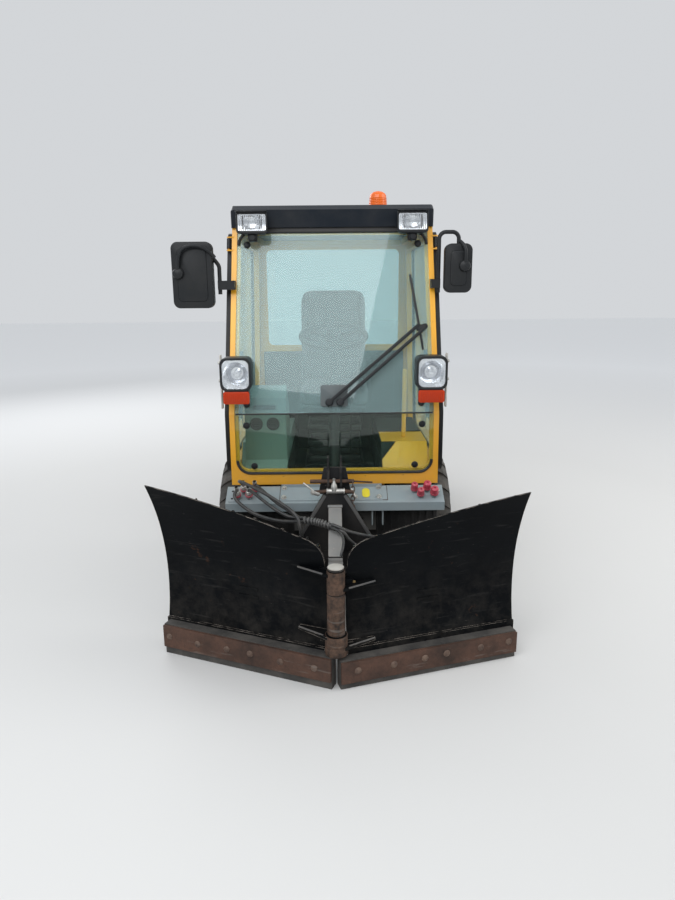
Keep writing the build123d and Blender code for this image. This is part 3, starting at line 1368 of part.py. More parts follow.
bundle = [wrap] + [hose(points, HOSE_R) for points in onward]
save(Compound(children=bundle), "boom_hoses")
# Steering ram beside the pivot

steer_barrel, steer_rod = ram(
    (STEER_PIN_X, STEER_BASE_Y, STEER_Z), (STEER_PIN_X, PIVOT_Y, STEER_Z), (0, 0, 1), 350, 260
)
save(steer_barrel, "steer_barrel")
save(steer_rod, "steer_rod")

# Rear frame: pivot pin and lugs, yoke, rails and the rear tow jaw

REAR_YOKE_Y = PIVOT_Y + 90
rear_frame = block(-200, 200, REAR_YOKE_Y, REAR_YOKE_Y + 20, PIVOT_ZS[0] - 20, RAIL_HIGH_Z)
inner_lugs = (PIVOT_ZS[0] + PIVOT_LUG + KNUCKLE_GAP, PIVOT_ZS[1] - PIVOT_LUG - KNUCKLE_GAP)
for z in inner_lugs:
    rear_frame += block(
        -PIVOT_LUG_R, PIVOT_LUG_R, PIVOT_Y, REAR_YOKE_Y + 10, z - PIVOT_LUG / 2, z + PIVOT_LUG / 2
    )
    rear_frame += Pos(0, PIVOT_Y, z) * Cylinder(PIVOT_LUG_R, PIVOT_LUG)
pin_low, pin_high = PIVOT_ZS[0] - PIVOT_LUG / 2 - 8, PIVOT_ZS[1] + PIVOT_LUG / 2 + 8
rear_frame += Pos(0, PIVOT_Y, (pin_low + pin_high) / 2) * Cylinder(PIVOT_R, pin_high - pin_low)
for dz in (-1, 1):
    z0, z1 = sorted((STEER_Z + dz * fork_in, STEER_Z + dz * (fork_in + FORK_PLATE)))
    rear_frame += block(STEER_PIN_X - 24, STEER_PIN_X + 24, PIVOT_Y - 24, REAR_YOKE_Y + 5, z0, z1)
for sign in (-1, 1):
    x0, x1 = sign * REAR_RAIL_HALF - RAIL_W / 2, sign * REAR_RAIL_HALF + RAIL_W / 2
    rear_frame += block(x0, x1, REAR_YOKE_Y + 10, REAR_END_Y, RAIL_LOW_Z + SEAT_GAP, RAIL_HIGH_Z)
for y in (REAR_AXLE_Y - 170, REAR_END_Y - 20):
    rear_frame += block(-REAR_RAIL_HALF, REAR_RAIL_HALF, y - 20, y + 20, RAIL_LOW_Z + 20, RAIL_HIGH_Z)
# Rear bumper plate with the tow jaw
rear_frame += block(-330, 330, REAR_END_Y - 2, REAR_END_Y + 10, 440, 640)
TOW_Z = 400
TOW_PIN_R = 14
TOW_PIN_Y = REAR_END_Y + 45
TOW_GAP = 50
for dz in (-1, 1):
    z0, z1 = sorted((TOW_Z + dz * TOW_GAP / 2, TOW_Z + dz * (TOW_GAP / 2 + 14)))
    jaw = block(-40, 40, REAR_END_Y - 2, TOW_PIN_Y, z0, z1)
    jaw += Pos(0, TOW_PIN_Y, (z0 + z1) / 2) * Cylinder(40, 14)
    jaw -= Pos(0, TOW_PIN_Y, (z0 + z1) / 2) * Cylinder(TOW_PIN_R + 1, 30)
    rear_frame += jaw
rear_frame += block(-60, 60, REAR_END_Y - 12, REAR_END_Y + 10, TOW_Z - 60, 470)
save(rear_frame, "rear_frame")

rear_axle = bar((-HUB_FACE, REAR_AXLE_Y, TYRE_R), (HUB_FACE, REAR_AXLE_Y, TYRE_R), AXLE_R)
rear_axle += bar((-60, REAR_AXLE_Y, TYRE_R), (60, REAR_AXLE_Y, TYRE_R), 104)
for sign in (-1, 1):
    x0, x1 = sorted((sign * (HUB_FACE - 50), sign * HUB_FACE))
    rear_axle += bar((x0, REAR_AXLE_Y, TYRE_R), (x1, REAR_AXLE_Y, TYRE_R), 95)
    rear_axle += block(
        sign * REAR_RAIL_HALF - RAIL_W / 2,
        sign * REAR_RAIL_HALF + RAIL_W / 2,
        REAR_AXLE_Y - 60,
        REAR_AXLE_Y + 60,
        TYRE_R,
        RAIL_LOW_Z,
    )
save(rear_axle, "rear_axle")

# Engine as one plain block, on the rear rails
engine = block(-170, 170, 520, 1260, RAIL_HIGH_Z + SEAT_GAP, 1010)
save(fillet(engine.edges().filter_by(Axis.Y), 40), "engine")

# Rear wheel guards on brackets from the rails, and tail lamps on them
GUARD_R = TYRE_R + 62
rear_guards = []
for sign in (-1, 1):
    x0, x1 = sorted((sign * (TRACK_HALF - TYRE_W / 2 - 8), sign * (TRACK_HALF + TYRE_W / 2)))
    plane = Plane(origin=(x0, REAR_AXLE_Y, TYRE_R), x_dir=(0, 1, 0), z_dir=(1, 0, 0))
    ring = extrude(plane * (Circle(GUARD_R) - Circle(GUARD_R - GUARD_SHEET)), x1 - x0, dir=(1, 0, 0))
    guard = ring & block(x0, x1, REAR_AXLE_Y - 500, REAR_AXLE_Y + 500, TYRE_R + 180, TYRE_R + 500)
    rail_x = REAR_RAIL_HALF + RAIL_W / 2 + SEAT_GAP
    for y in (REAR_AXLE_Y - 330, REAR_AXLE_Y + 330):
        foot_x = sorted((sign * rail_x, sign * (rail_x + 8)))
        arm_x = sorted((sign * rail_x, sign * (TRACK_HALF - TYRE_W / 2 + 20)))
        guard += block(*foot_x, y - 20, y + 20, RAIL_LOW_Z + 30, GUARD_ARM_Z)
        guard += block(*arm_x, y - 20, y + 20, GUARD_ARM_Z - 8, GUARD_ARM_Z)
    rear_guards.append(guard)
save(rear_guards[0] + rear_guards[1], "rear_guards")

tail_lamps = []
for sign in (-1, 1):
    lamp = block(sign * 250 - 60, sign * 250 + 60, REAR_END_Y + 10 + SEAT_GAP, REAR_END_Y + 40, 560, 630)
    tail_lamps.append(lamp)
save(tail_lamps[0] + tail_lamps[1], "tail_lamps")

# Bulkhead behind the cab and the bonnet, which lifts on a hinge along its top front edge
BULKHEAD_SHEET = 12
bulkhead_ys = (BONNET_FRONT_Y, BONNET_FRONT_Y + BULKHEAD_SHEET)
bulkhead_zs = (RAIL_HIGH_Z + SEAT_GAP, BONNET_TOP_Z - 30)
bulkhead = block(-BONNET_HALF + 20, BONNET_HALF - 20, *bulkhead_ys, *bulkhead_zs)
BONNET_PIN_Y = BONNET_FRONT_Y + 6
BONNET_PIN_Z = BONNET_TOP_Z - 4
for sign in (-1, 1):
    x0, x1 = sorted((sign * 150, sign * 162))
    bulkhead += block(x0, x1, *bulkhead_ys, BONNET_TOP_Z - 34, BONNET_PIN_Z)
    bulkhead += bar((sign * 150, BONNET_PIN_Y, BONNET_PIN_Z), (sign * 190, BONNET_PIN_Y, BONNET_PIN_Z), 5)
save(bulkhead, "bulkhead")

bonnet_outer = front(
    [
        (-BONNET_HALF, BONNET_LOW_Z),
        (BONNET_HALF, BONNET_LOW_Z),
        (BONNET_HALF - 20, BONNET_TOP_Z - 60),
        (BONNET_HALF - 80, BONNET_TOP_Z),
        (-BONNET_HALF + 80, BONNET_TOP_Z),
        (-BONNET_HALF + 20, BONNET_TOP_Z - 60),
    ],
    BONNET_FRONT_Y + 20,
    BONNET_REAR_Y,
)
bonnet_inner = front(
    [
        (-BONNET_HALF + BONNET_SHEET, BONNET_LOW_Z - 10),
        (BONNET_HALF - BONNET_SHEET, BONNET_LOW_Z - 10),
        (BONNET_HALF - 20 - BONNET_SHEET, BONNET_TOP_Z - 62),
        (BONNET_HALF - 82, BONNET_TOP_Z - BONNET_SHEET),
        (-BONNET_HALF + 82, BONNET_TOP_Z - BONNET_SHEET),
        (-BONNET_HALF + 20 + BONNET_SHEET, BONNET_TOP_Z - 62),
    ],
    BONNET_FRONT_Y,
    BONNET_REAR_Y - BONNET_SHEET,
)
bonnet = bonnet_outer - bonnet_inner
GRILLE_HALF = 210
GRILLE_Z = (720, 1020)
bonnet -= block(-GRILLE_HALF, GRILLE_HALF, BONNET_REAR_Y - 40, BONNET_REAR_Y + 10, *GRILLE_Z)
for sign in (-1, 1):
    x0, x1 = sorted((sign * 165, sign * 185))
    bonnet += block(x0, x1, BONNET_PIN_Y - 2, BONNET_FRONT_Y + 40, BONNET_PIN_Z - 8, BONNET_TOP_Z - 2)
    bonnet += bar((x0, BONNET_PIN_Y, BONNET_PIN_Z), (x1, BONNET_PIN_Y, BONNET_PIN_Z), 10)
    bonnet -= bar((sign * 140, BONNET_PIN_Y, BONNET_PIN_Z), (sign * 200, BONNET_PIN_Y, BONNET_PIN_Z), 5.6)
# Louvres let the engine's air out of both sides
for sign in (-1, 1):
    x0, x1 = sorted((sign * (BONNET_HALF - 60), sign * (BONNET_HALF + 10)))
    for i in range(LOUVRE_COUNT):
        y = LOUVRE_START_Y + i * LOUVRE_PITCH
        bonnet -= block(x0, x1, y, y + LOUVRE_W, *LOUVRE_ZS)
save(bonnet, "bonnet")

grille = block(
    -GRILLE_HALF + SEAT_GAP, GRILLE_HALF - SEAT_GAP, BONNET_REAR_Y - BONNET_SHEET, BONNET_REAR_Y - 2,
    GRILLE_Z[0] + SEAT_GAP, GRILLE_Z[1] - SEAT_GAP
)
SLOT = 14
SLOT_PITCH = 28
slot_z = GRILLE_Z[0] + 30
while slot_z < GRILLE_Z[1] - 30:
    grille -= block(
        -GRILLE_HALF + 20, GRILLE_HALF - 20, BONNET_REAR_Y - 20, BONNET_REAR_Y + 5, slot_z, slot_z + SLOT
    )
    slot_z += SLOT_PITCH
save(grille, "grille")

# Wheels: a turned tyre on a dished rim, four of each

half_w = TYRE_W / 2
tyre_section = Polygon(
    (RIM_R + SEAT_GAP, -half_w + 30),
    (RIM_R + 70, -half_w),
    (TYRE_R - TYRE_SHOULDER, -half_w),
    (TYRE_R, -half_w + TYRE_SHOULDER),
    (TYRE_R, half_w - TYRE_SHOULDER),
    (TYRE_R - TYRE_SHOULDER, half_w),
    (RIM_R + 70, half_w),
    (RIM_R + SEAT_GAP, half_w - 30),
    align=None,
)
tyre = revolve(Plane(origin=(0, 0, 0), x_dir=(0, 1, 0), z_dir=(0, 0, -1)) * tyre_section, Axis.X)
rim_section = Polygon(
    (RIM_R, -half_w + 32),
    (RIM_R, half_w - 32),
    (RIM_R - RIM_WALL, half_w - 32),
    (RIM_R - RIM_WALL, 20),
    (60, -20),
    (40, -20),
    (40, -34),
    (66, -34),
    (RIM_R - RIM_WALL, 4),
    (RIM_R - RIM_WALL, -half_w + 32),
    align=None,
)
rim = revolve(Plane(origin=(0, 0, 0), x_dir=(0, 1, 0), z_dir=(0, 0, -1)) * rim_section, Axis.X)
for i in range(RIM_HOLES):
    hole = Pos(0, RIM_HOLE_RING, 0) * Rot(0, 90, 0) * Cylinder(RIM_HOLE_R, TYRE_W)
    rim -= Rot(360 / RIM_HOLES * i, 0, 0) * hole
rim += bar((-34, 0, 0), (40, 0, 0), 58)
WHEELS = [
    ("front_left", -1, FRONT_AXLE_Y),
    ("front_right", 1, FRONT_AXLE_Y),
    ("rear_left", -1, REAR_AXLE_Y),
    ("rear_right", 1, REAR_AXLE_Y),
]
for name, sign, y in WHEELS:
    place = Pos(sign * TRACK_HALF, y, TYRE_R)
    flip = Rot(0, 0, 0) if sign > 0 else Rot(0, 0, 180)
    save(place * flip * tyre, f"tyre_{name}")
    hub = bar((HUB_FACE + SEAT_GAP - TRACK_HALF, 0, 0), (-30, 0, 0), HUB_R)
    save(place * flip * (rim + hub), f"rim_{name}")
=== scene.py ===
import json
import math

import bmesh
import bpy
from mathutils import Euler, Matrix, Vector
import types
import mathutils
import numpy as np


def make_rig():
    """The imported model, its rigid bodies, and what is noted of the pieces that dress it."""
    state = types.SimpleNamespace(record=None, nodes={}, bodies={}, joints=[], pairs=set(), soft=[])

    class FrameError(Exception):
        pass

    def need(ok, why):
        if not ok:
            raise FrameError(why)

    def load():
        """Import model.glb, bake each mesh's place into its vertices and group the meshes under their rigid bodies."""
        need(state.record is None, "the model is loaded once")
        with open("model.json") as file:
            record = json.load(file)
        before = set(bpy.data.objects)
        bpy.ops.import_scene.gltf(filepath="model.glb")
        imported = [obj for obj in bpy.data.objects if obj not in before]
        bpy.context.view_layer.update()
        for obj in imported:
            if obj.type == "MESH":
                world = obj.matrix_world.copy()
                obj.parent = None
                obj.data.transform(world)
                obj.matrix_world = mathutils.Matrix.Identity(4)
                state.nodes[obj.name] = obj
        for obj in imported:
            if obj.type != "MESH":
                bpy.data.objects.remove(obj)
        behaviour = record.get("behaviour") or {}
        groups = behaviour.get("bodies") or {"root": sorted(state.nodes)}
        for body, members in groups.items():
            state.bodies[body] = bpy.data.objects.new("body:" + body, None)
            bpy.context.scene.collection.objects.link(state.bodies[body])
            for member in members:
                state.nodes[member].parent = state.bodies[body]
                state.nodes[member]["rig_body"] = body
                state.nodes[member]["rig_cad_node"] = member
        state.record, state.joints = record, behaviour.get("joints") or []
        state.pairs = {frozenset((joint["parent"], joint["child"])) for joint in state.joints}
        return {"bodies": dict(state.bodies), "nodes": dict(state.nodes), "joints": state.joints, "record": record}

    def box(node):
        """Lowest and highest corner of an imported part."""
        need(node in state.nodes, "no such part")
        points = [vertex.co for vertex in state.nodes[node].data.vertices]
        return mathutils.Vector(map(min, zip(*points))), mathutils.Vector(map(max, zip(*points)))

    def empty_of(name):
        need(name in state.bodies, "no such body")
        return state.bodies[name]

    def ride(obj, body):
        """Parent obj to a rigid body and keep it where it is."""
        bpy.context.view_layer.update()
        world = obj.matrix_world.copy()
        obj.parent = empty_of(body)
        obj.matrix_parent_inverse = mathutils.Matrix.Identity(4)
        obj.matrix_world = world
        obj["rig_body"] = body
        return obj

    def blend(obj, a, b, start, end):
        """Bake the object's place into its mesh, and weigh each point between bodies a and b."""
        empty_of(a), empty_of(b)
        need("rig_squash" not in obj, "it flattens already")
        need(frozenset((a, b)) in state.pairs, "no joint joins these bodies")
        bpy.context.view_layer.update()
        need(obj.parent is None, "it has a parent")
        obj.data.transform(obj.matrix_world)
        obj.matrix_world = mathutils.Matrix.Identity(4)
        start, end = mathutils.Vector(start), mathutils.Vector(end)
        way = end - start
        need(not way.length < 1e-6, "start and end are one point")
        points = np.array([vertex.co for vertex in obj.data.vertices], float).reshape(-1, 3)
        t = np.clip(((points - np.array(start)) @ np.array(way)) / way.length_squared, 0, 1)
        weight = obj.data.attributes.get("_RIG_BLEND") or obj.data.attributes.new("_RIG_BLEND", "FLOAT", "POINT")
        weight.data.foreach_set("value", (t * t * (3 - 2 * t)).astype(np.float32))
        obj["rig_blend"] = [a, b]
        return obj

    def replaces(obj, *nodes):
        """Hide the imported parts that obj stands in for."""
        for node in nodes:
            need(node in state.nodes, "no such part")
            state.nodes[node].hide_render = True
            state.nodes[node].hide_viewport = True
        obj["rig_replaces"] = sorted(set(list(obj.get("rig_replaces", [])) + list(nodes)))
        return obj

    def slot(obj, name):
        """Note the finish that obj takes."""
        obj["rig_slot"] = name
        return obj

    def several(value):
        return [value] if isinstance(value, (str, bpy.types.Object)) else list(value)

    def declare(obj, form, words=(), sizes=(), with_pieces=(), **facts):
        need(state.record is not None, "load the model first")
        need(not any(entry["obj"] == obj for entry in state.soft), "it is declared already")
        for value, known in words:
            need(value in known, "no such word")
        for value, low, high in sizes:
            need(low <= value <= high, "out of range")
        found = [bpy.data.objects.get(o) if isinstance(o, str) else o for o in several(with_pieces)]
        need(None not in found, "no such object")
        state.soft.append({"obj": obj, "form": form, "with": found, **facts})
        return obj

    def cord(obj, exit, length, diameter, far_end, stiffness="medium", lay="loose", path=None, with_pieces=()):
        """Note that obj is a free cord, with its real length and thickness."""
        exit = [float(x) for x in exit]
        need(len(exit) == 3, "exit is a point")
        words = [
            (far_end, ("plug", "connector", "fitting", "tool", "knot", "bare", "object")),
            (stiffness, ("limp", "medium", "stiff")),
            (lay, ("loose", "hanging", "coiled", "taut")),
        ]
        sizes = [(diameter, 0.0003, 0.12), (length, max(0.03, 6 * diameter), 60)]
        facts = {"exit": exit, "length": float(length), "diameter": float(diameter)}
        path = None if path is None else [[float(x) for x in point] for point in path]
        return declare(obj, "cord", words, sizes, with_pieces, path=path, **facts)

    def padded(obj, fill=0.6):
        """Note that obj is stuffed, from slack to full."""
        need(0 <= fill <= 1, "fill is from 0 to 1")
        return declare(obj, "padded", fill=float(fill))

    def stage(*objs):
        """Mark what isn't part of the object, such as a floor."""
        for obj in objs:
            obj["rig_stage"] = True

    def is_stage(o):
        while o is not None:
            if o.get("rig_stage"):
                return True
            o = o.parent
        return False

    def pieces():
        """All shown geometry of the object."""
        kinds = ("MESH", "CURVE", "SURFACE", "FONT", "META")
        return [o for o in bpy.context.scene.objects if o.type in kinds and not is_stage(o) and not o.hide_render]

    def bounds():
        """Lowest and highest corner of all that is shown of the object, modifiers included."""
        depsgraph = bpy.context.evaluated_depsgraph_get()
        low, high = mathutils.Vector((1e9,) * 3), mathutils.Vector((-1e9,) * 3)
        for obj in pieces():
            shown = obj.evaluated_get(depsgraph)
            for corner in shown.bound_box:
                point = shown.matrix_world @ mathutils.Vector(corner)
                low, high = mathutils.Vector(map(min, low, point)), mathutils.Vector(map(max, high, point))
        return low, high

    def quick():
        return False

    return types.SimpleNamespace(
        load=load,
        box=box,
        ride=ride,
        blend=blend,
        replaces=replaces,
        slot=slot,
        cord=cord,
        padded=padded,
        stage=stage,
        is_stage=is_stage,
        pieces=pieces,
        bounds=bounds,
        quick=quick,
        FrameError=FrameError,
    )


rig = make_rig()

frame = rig.load()
cad_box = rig.bounds()
nodes = frame["nodes"]
scene = bpy.context.scene

# Camera
PHOTO_H = 900
FOCAL_PX = 676
SENSOR = 36
CAMERA_PLACE = (0, -4.148, 1.60)
CAMERA_DOWN = math.radians(13.5)
CAMERA_PAN = math.radians(-0.26)
CAMERA_ROLL = math.radians(-0.5)


def photo_camera():
    """The photo's camera, held at head height before the plough and tilted down to it."""
    data = bpy.data.cameras.new("camera")
    data.sensor_width = SENSOR
    data.lens = FOCAL_PX / PHOTO_H * SENSOR
    camera = bpy.data.objects.new("camera", data)
    scene.collection.objects.link(camera)
    camera.location = CAMERA_PLACE
    aim = Euler((math.pi / 2 - CAMERA_DOWN, 0, CAMERA_PAN)).to_matrix()
    camera.rotation_euler = (aim @ Matrix.Rotation(CAMERA_ROLL, 3, "Z")).to_euler()
    scene.camera = camera


photo_camera()
scene.view_settings.view_transform = "Standard"

# Lamps of the stage
LAMPS_AIM = Vector((0, 0, 0.8))
SKY_COLOUR, SUN_COLOUR = (0.97, 0.98, 1.0), (1.0, 0.98, 0.95)


def lamp(name, place, size, power, colour):
    """A square lamp that looks at the middle of the machine."""
    light = bpy.data.lights.new(name, "AREA")
    light.size = size
    light.energy = power
    light.color = colour
    holder = bpy.data.objects.new(name, light)
    scene.collection.objects.link(holder)
    holder.location = place
    holder.rotation_euler = (LAMPS_AIM - Vector(place)).to_track_quat("-Z", "Y").to_euler()


lamp("sky_front", (-1.6, -5.0, 5.2), 5.0, 230, SKY_COLOUR)
lamp("sky_right", (5.0, -1.0, 4.2), 4.0, 120, SUN_COLOUR)
lamp("sky_back", (-3.5, 4.8, 4.4), 4.0, 130, SKY_COLOUR)

# Building a finish
MIX_BELOW, MIX_ABOVE, MIX_RESULT = 6, 7, 2
FLAT_LEAN, EDGE_LEAN = 0.985, 0.86


class Finish:
    """A material in the making: its tree and shader, and short names for the nodes of its look."""

    def __init__(self, name, roughness=0.5, metal=0.0, **sockets):
        self.material = bpy.data.materials.new(name)
        self.material.use_nodes = True
        self.tree = self.material.node_tree
        self.shader = self.tree.nodes["Principled BSDF"]
        self.place = self.tree.nodes.new("ShaderNodeTexCoord").outputs["Object"]
        self.wear(Roughness=roughness, Metallic=metal, **sockets)

    def feed(self, socket, value):
        """Links a socket to another node's output, or sets its own value."""
        if isinstance(value, bpy.types.NodeSocket):
            self.tree.links.new(value, socket)
        elif socket.type == "RGBA":
            socket.default_value = (*value, 1)
        else:
            socket.default_value = value

    def wear(self, **sockets):
        """Feeds the shader's own sockets, named with _ for each space."""
        for key, value in sockets.items():
            self.feed(self.shader.inputs[key.replace("_", " ")], value)

    def node(self, kind, sockets=(), **settings):
        made = self.tree.nodes.new(kind)
        for key, value in settings.items():
            setattr(made, key, value)
        for key, value in dict(sockets).items():
            self.feed(made.inputs[key], value)
        return made

    def stretched(self, scale):
        """The object's coordinates, scaled along each axis."""
        return self.node("ShaderNodeMapping", {"Vector": self.place, "Scale": scale}).outputs["Vector"]

    def noise(self, scale, detail=4.0, rough=0.55, place=None):
        sockets = {"Vector": place or self.place, "Scale": scale, "Detail": detail, "Roughness": rough}
        return self.node("ShaderNodeTexNoise", sockets).outputs["Fac"]

    def ramp(self, amount, low, high, out_low=0.0, out_high=1.0):
        sockets = {"Value": amount, "From Min": low, "From Max": high, "To Min": out_low, "To Max": out_high}
        return self.node("ShaderNodeMapRange", sockets).outputs["Result"]

    def times(self, a, b):
        return self.node("ShaderNodeMath", {0: a, 1: b}, operation="MULTIPLY").outputs[0]

    def plus(self, a, b):
        return self.node("ShaderNodeMath", {0: a, 1: b}, operation="ADD").outputs[0]

    def blend(self, amount, below, above):
        """The colour above over the colour below, by an amount."""
        sockets = {0: amount, MIX_BELOW: below, MIX_ABOVE: above}
        return self.node("ShaderNodeMix", sockets, data_type="RGBA").outputs[MIX_RESULT]

    def height(self, low, high):
        """1 at the low height and 0 at the high one."""
        z = self.node("ShaderNodeSeparateXYZ", {"Vector": self.place}).outputs["Z"]
        return self.ramp(z, low, high, 1.0, 0.0)

    def worn_edge(self, width):
        """1 on an edge and 0 on a flat, from how a rounded normal leans off the flat one."""
        soft = self.node("ShaderNodeBevel", {"Radius": width}, samples=4).outputs["Normal"]
        flat = self.node("ShaderNodeNewGeometry").outputs["Normal"]
        lean = self.node("ShaderNodeVectorMath", {0: soft, 1: flat}, operation="DOT_PRODUCT")
        return self.ramp(lean.outputs["Value"], FLAT_LEAN, EDGE_LEAN)

    def relief(self, amount, strength, distance):
        sockets = {"Height": amount, "Strength": strength, "Distance": distance}
        self.wear(Normal=self.node("ShaderNodeBump", sockets).outputs["Normal"])


# The machine's finishes
DUST = (0.26, 0.23, 0.19)
TYRE_DUST = (0.17, 0.155, 0.135)
METAL_FILM = (0.20, 0.185, 0.165)
EDGE_WIDTH = 0.004


def painted(name, colour, gloss, dust, dust_low=0.2, dust_high=1.6, chip=None, edge=0.0, coat=0.0, shine=0.5):
    """Sprayed paint with dust that thickens towards the ground, faint fading and stone chips."""
    paint = Finish(name, gloss, Coat_Weight=coat, Coat_Roughness=0.12, Specular_IOR_Level=shine)
    darker = tuple(c * 0.82 for c in colour)
    lighter = tuple(min(1, c * 1.08) for c in colour)
    skin = paint.blend(paint.ramp(paint.noise(1.7, 3), 0.3, 0.7), darker, lighter)
    film = paint.ramp(paint.noise(6.5, 7, 0.66), 0.36, 0.68, 0.25, 1.0)
    cover = paint.times(paint.times(film, paint.height(dust_low, dust_high)), dust)
    skin = paint.blend(cover, skin, DUST)
    if chip:
        specks = paint.ramp(paint.noise(62, 3), 0.69, 0.72)
        struck = paint.ramp(paint.noise(5), 0.45, 0.6)
        skin = paint.blend(paint.times(specks, struck), skin, chip)
    if edge:
        rubbed = paint.times(paint.worn_edge(EDGE_WIDTH), paint.ramp(paint.noise(18, 4), 0.42, 0.62))
        skin = paint.blend(paint.times(rubbed, edge), skin, chip or DUST)
    paint.wear(Base_Color=skin, Roughness=paint.ramp(cover, 0.0, 0.8, gloss, 0.86))
    paint.relief(paint.noise(240, 2), 0.05, 0.002)
    return paint.material


def ploughed(name):
    """Black plough paint scoured by snow and grit: scuffs along the way it slides, rust in the deep ones."""
    paint = Finish(name, 0.5, Specular_IOR_Level=0.04)
    scour = paint.noise(1.6, 8, 0.62, paint.stretched((3.0, 3.0, 34.0)))
    blots = paint.noise(3.4, 6, 0.6)
    fine = paint.noise(2.2, 5, 0.7, paint.stretched((9.0, 9.0, 120.0)))
    black, blue_black = (0.0030, 0.0036, 0.0044), (0.0065, 0.0075, 0.0085)
    scuff, scratch = (0.045, 0.044, 0.042), (0.13, 0.12, 0.11)
    rust, grit, steel = (0.13, 0.055, 0.025), (0.10, 0.088, 0.074), (0.34, 0.30, 0.26)
    skin = paint.blend(paint.ramp(blots, 0.35, 0.7), black, blue_black)
    skin = paint.blend(paint.times(paint.ramp(scour, 0.60, 0.76), 0.5), skin, scuff)
    skin = paint.blend(paint.times(paint.ramp(fine, 0.66, 0.74), paint.ramp(blots, 0.48, 0.6)), skin, scratch)
    blooms = paint.times(paint.ramp(paint.noise(11, 7, 0.68), 0.62, 0.70), paint.ramp(blots, 0.5, 0.62))
    skin = paint.blend(paint.times(blooms, 0.7), skin, rust)
    low = paint.times(paint.height(0.12, 0.52), paint.ramp(paint.noise(14, 6, 0.7), 0.4, 0.7))
    skin = paint.blend(paint.times(low, 0.22), skin, grit)
    rubbed = paint.times(paint.worn_edge(EDGE_WIDTH), paint.ramp(paint.noise(26, 4), 0.40, 0.6))
    off_the_ram_slots = paint.plus(paint.height(0.23, 0.27), paint.height(0.53, 0.50))
    skin = paint.blend(paint.times(rubbed, off_the_ram_slots), skin, steel)
    paint.wear(Base_Color=skin, Roughness=paint.ramp(blots, 0.3, 0.7, 0.34, 0.6))
    paint.relief(scour, 0.25, 0.004)
    return paint.material


def rusted(name, deep, bright, scale=9.0, pits=0.4, gloss=0.75):
    """Bare steel gone brown, with brighter and darker blooms and fine pits."""
    steel = Finish(name, gloss, 0.15)
    pit_brown, bare = (0.035, 0.022, 0.016), (0.22, 0.20, 0.18)
    grain = steel.noise(scale * 12, 4, 0.7)
    skin = steel.blend(steel.ramp(steel.noise(scale, 8, 0.68), 0.34, 0.68), deep, bright)
    skin = steel.blend(steel.times(steel.ramp(grain, 0.5, 0.75), 0.5), skin, pit_brown)
    streaks = steel.ramp(steel.noise(2.5, 6, 0.6, steel.stretched((2, 2, 18))), 0.6, 0.72)
    skin = steel.blend(steel.times(streaks, 0.5), skin, bare)
    steel.wear(Base_Color=skin)
    steel.relief(grain, pits, 0.003)
    return steel.material


def rubbery(name, colour, gloss=0.7, dust=0.4, scale=7.0):
    """Rubber or cloth with road dust in patches."""
    rubber = Finish(name, gloss)
    film = rubber.ramp(rubber.noise(scale, 7, 0.68), 0.36, 0.7)
    rubber.wear(Base_Color=rubber.blend(rubber.times(film, dust), colour, TYRE_DUST))
    rubber.relief(rubber.noise(190, 3), 0.12, 0.002)
    return rubber.material


def moulded(name, colour, gloss=0.5, grain=0.12, dust=0.15, shine=0.5):
    """Injection-moulded plastic with a fine leather grain and a little dust."""
    plastic = Finish(name, gloss, Specular_IOR_Level=shine)
    film = plastic.ramp(plastic.noise(5.0, 6, 0.65), 0.4, 0.72)
    plastic.wear(Base_Color=plastic.blend(plastic.times(film, dust), colour, DUST))
    cells = plastic.node("ShaderNodeTexVoronoi", {"Vector": plastic.place, "Scale": 420.0})
    plastic.relief(cells.outputs["Distance"], grain, 0.0015)
    return plastic.material


def metal(name, colour, gloss, brushed=0.0, dull=0.3):
    """Bare or plated metal with a dull film in patches, brushed or not."""
    steel = Finish(name, gloss, 1.0)
    film = steel.ramp(steel.noise(24, 6, 0.65), 0.4, 0.7)
    steel.wear(
        Base_Color=steel.blend(steel.times(film, dull), colour, METAL_FILM),
        Roughness=steel.ramp(film, 0, 1, gloss, min(0.9, gloss + 0.25)),
    )
    if brushed:
        steel.relief(steel.noise(60, 3, place=steel.stretched((1, 1, 30))), brushed, 0.001)
    return steel.material


def pane(name, tint, film=0.06, clear=1.0):
    """Safety glass with a tint and a thin film of road dirt, which a clear under 1 makes pale."""
    glass = Finish(name, 0.02, IOR=1.45, Transmission_Weight=clear, Base_Color=tint)
    glass.wear(Roughness=glass.ramp(glass.noise(3.2, 8, 0.7), 0.42, 0.8, 0.012, film))
    return glass.material


OCHRE_CHIP, PALE_CHIP, RUST_CHIP = (0.30, 0.15, 0.05), (0.30, 0.31, 0.30), (0.20, 0.12, 0.08)
yellow = painted(
    "cab_yellow", (0.90, 0.435, 0.024), 0.34, 0.30, dust_low=0.5, dust_high=1.3, chip=OCHRE_CHIP,
    edge=0.35, coat=0.35
)
hitch_black = painted(
    "hitch_black", (0.009, 0.010, 0.012), 0.42, 0.22, dust_low=0.0, dust_high=1.1, chip=(0.20, 0.17, 0.15),
    edge=0.9, shine=0.2
)
beam_grey = painted("beam_grey", (0.25, 0.31, 0.335), 0.42, 0.42, 0.2, 1.4, chip=PALE_CHIP, edge=0.6)
chassis_grey = painted(
    "chassis_grey", (0.060, 0.066, 0.068), 0.55, 0.85, dust_low=0.1, dust_high=1.0, chip=(0.19, 0.12, 0.08),
    edge=0.4
)
rim_silver = painted(
    "rim_silver", (0.42, 0.42, 0.40), 0.4, 0.6, dust_low=0.0, dust_high=0.9, chip=RUST_CHIP, edge=0.4
)
worn_white = painted(
    "worn_white", (0.55, 0.54, 0.50), 0.45, 0.9, dust_low=0.0, dust_high=1.2, chip=(0.16, 0.10, 0.07),
    edge=0.9
)
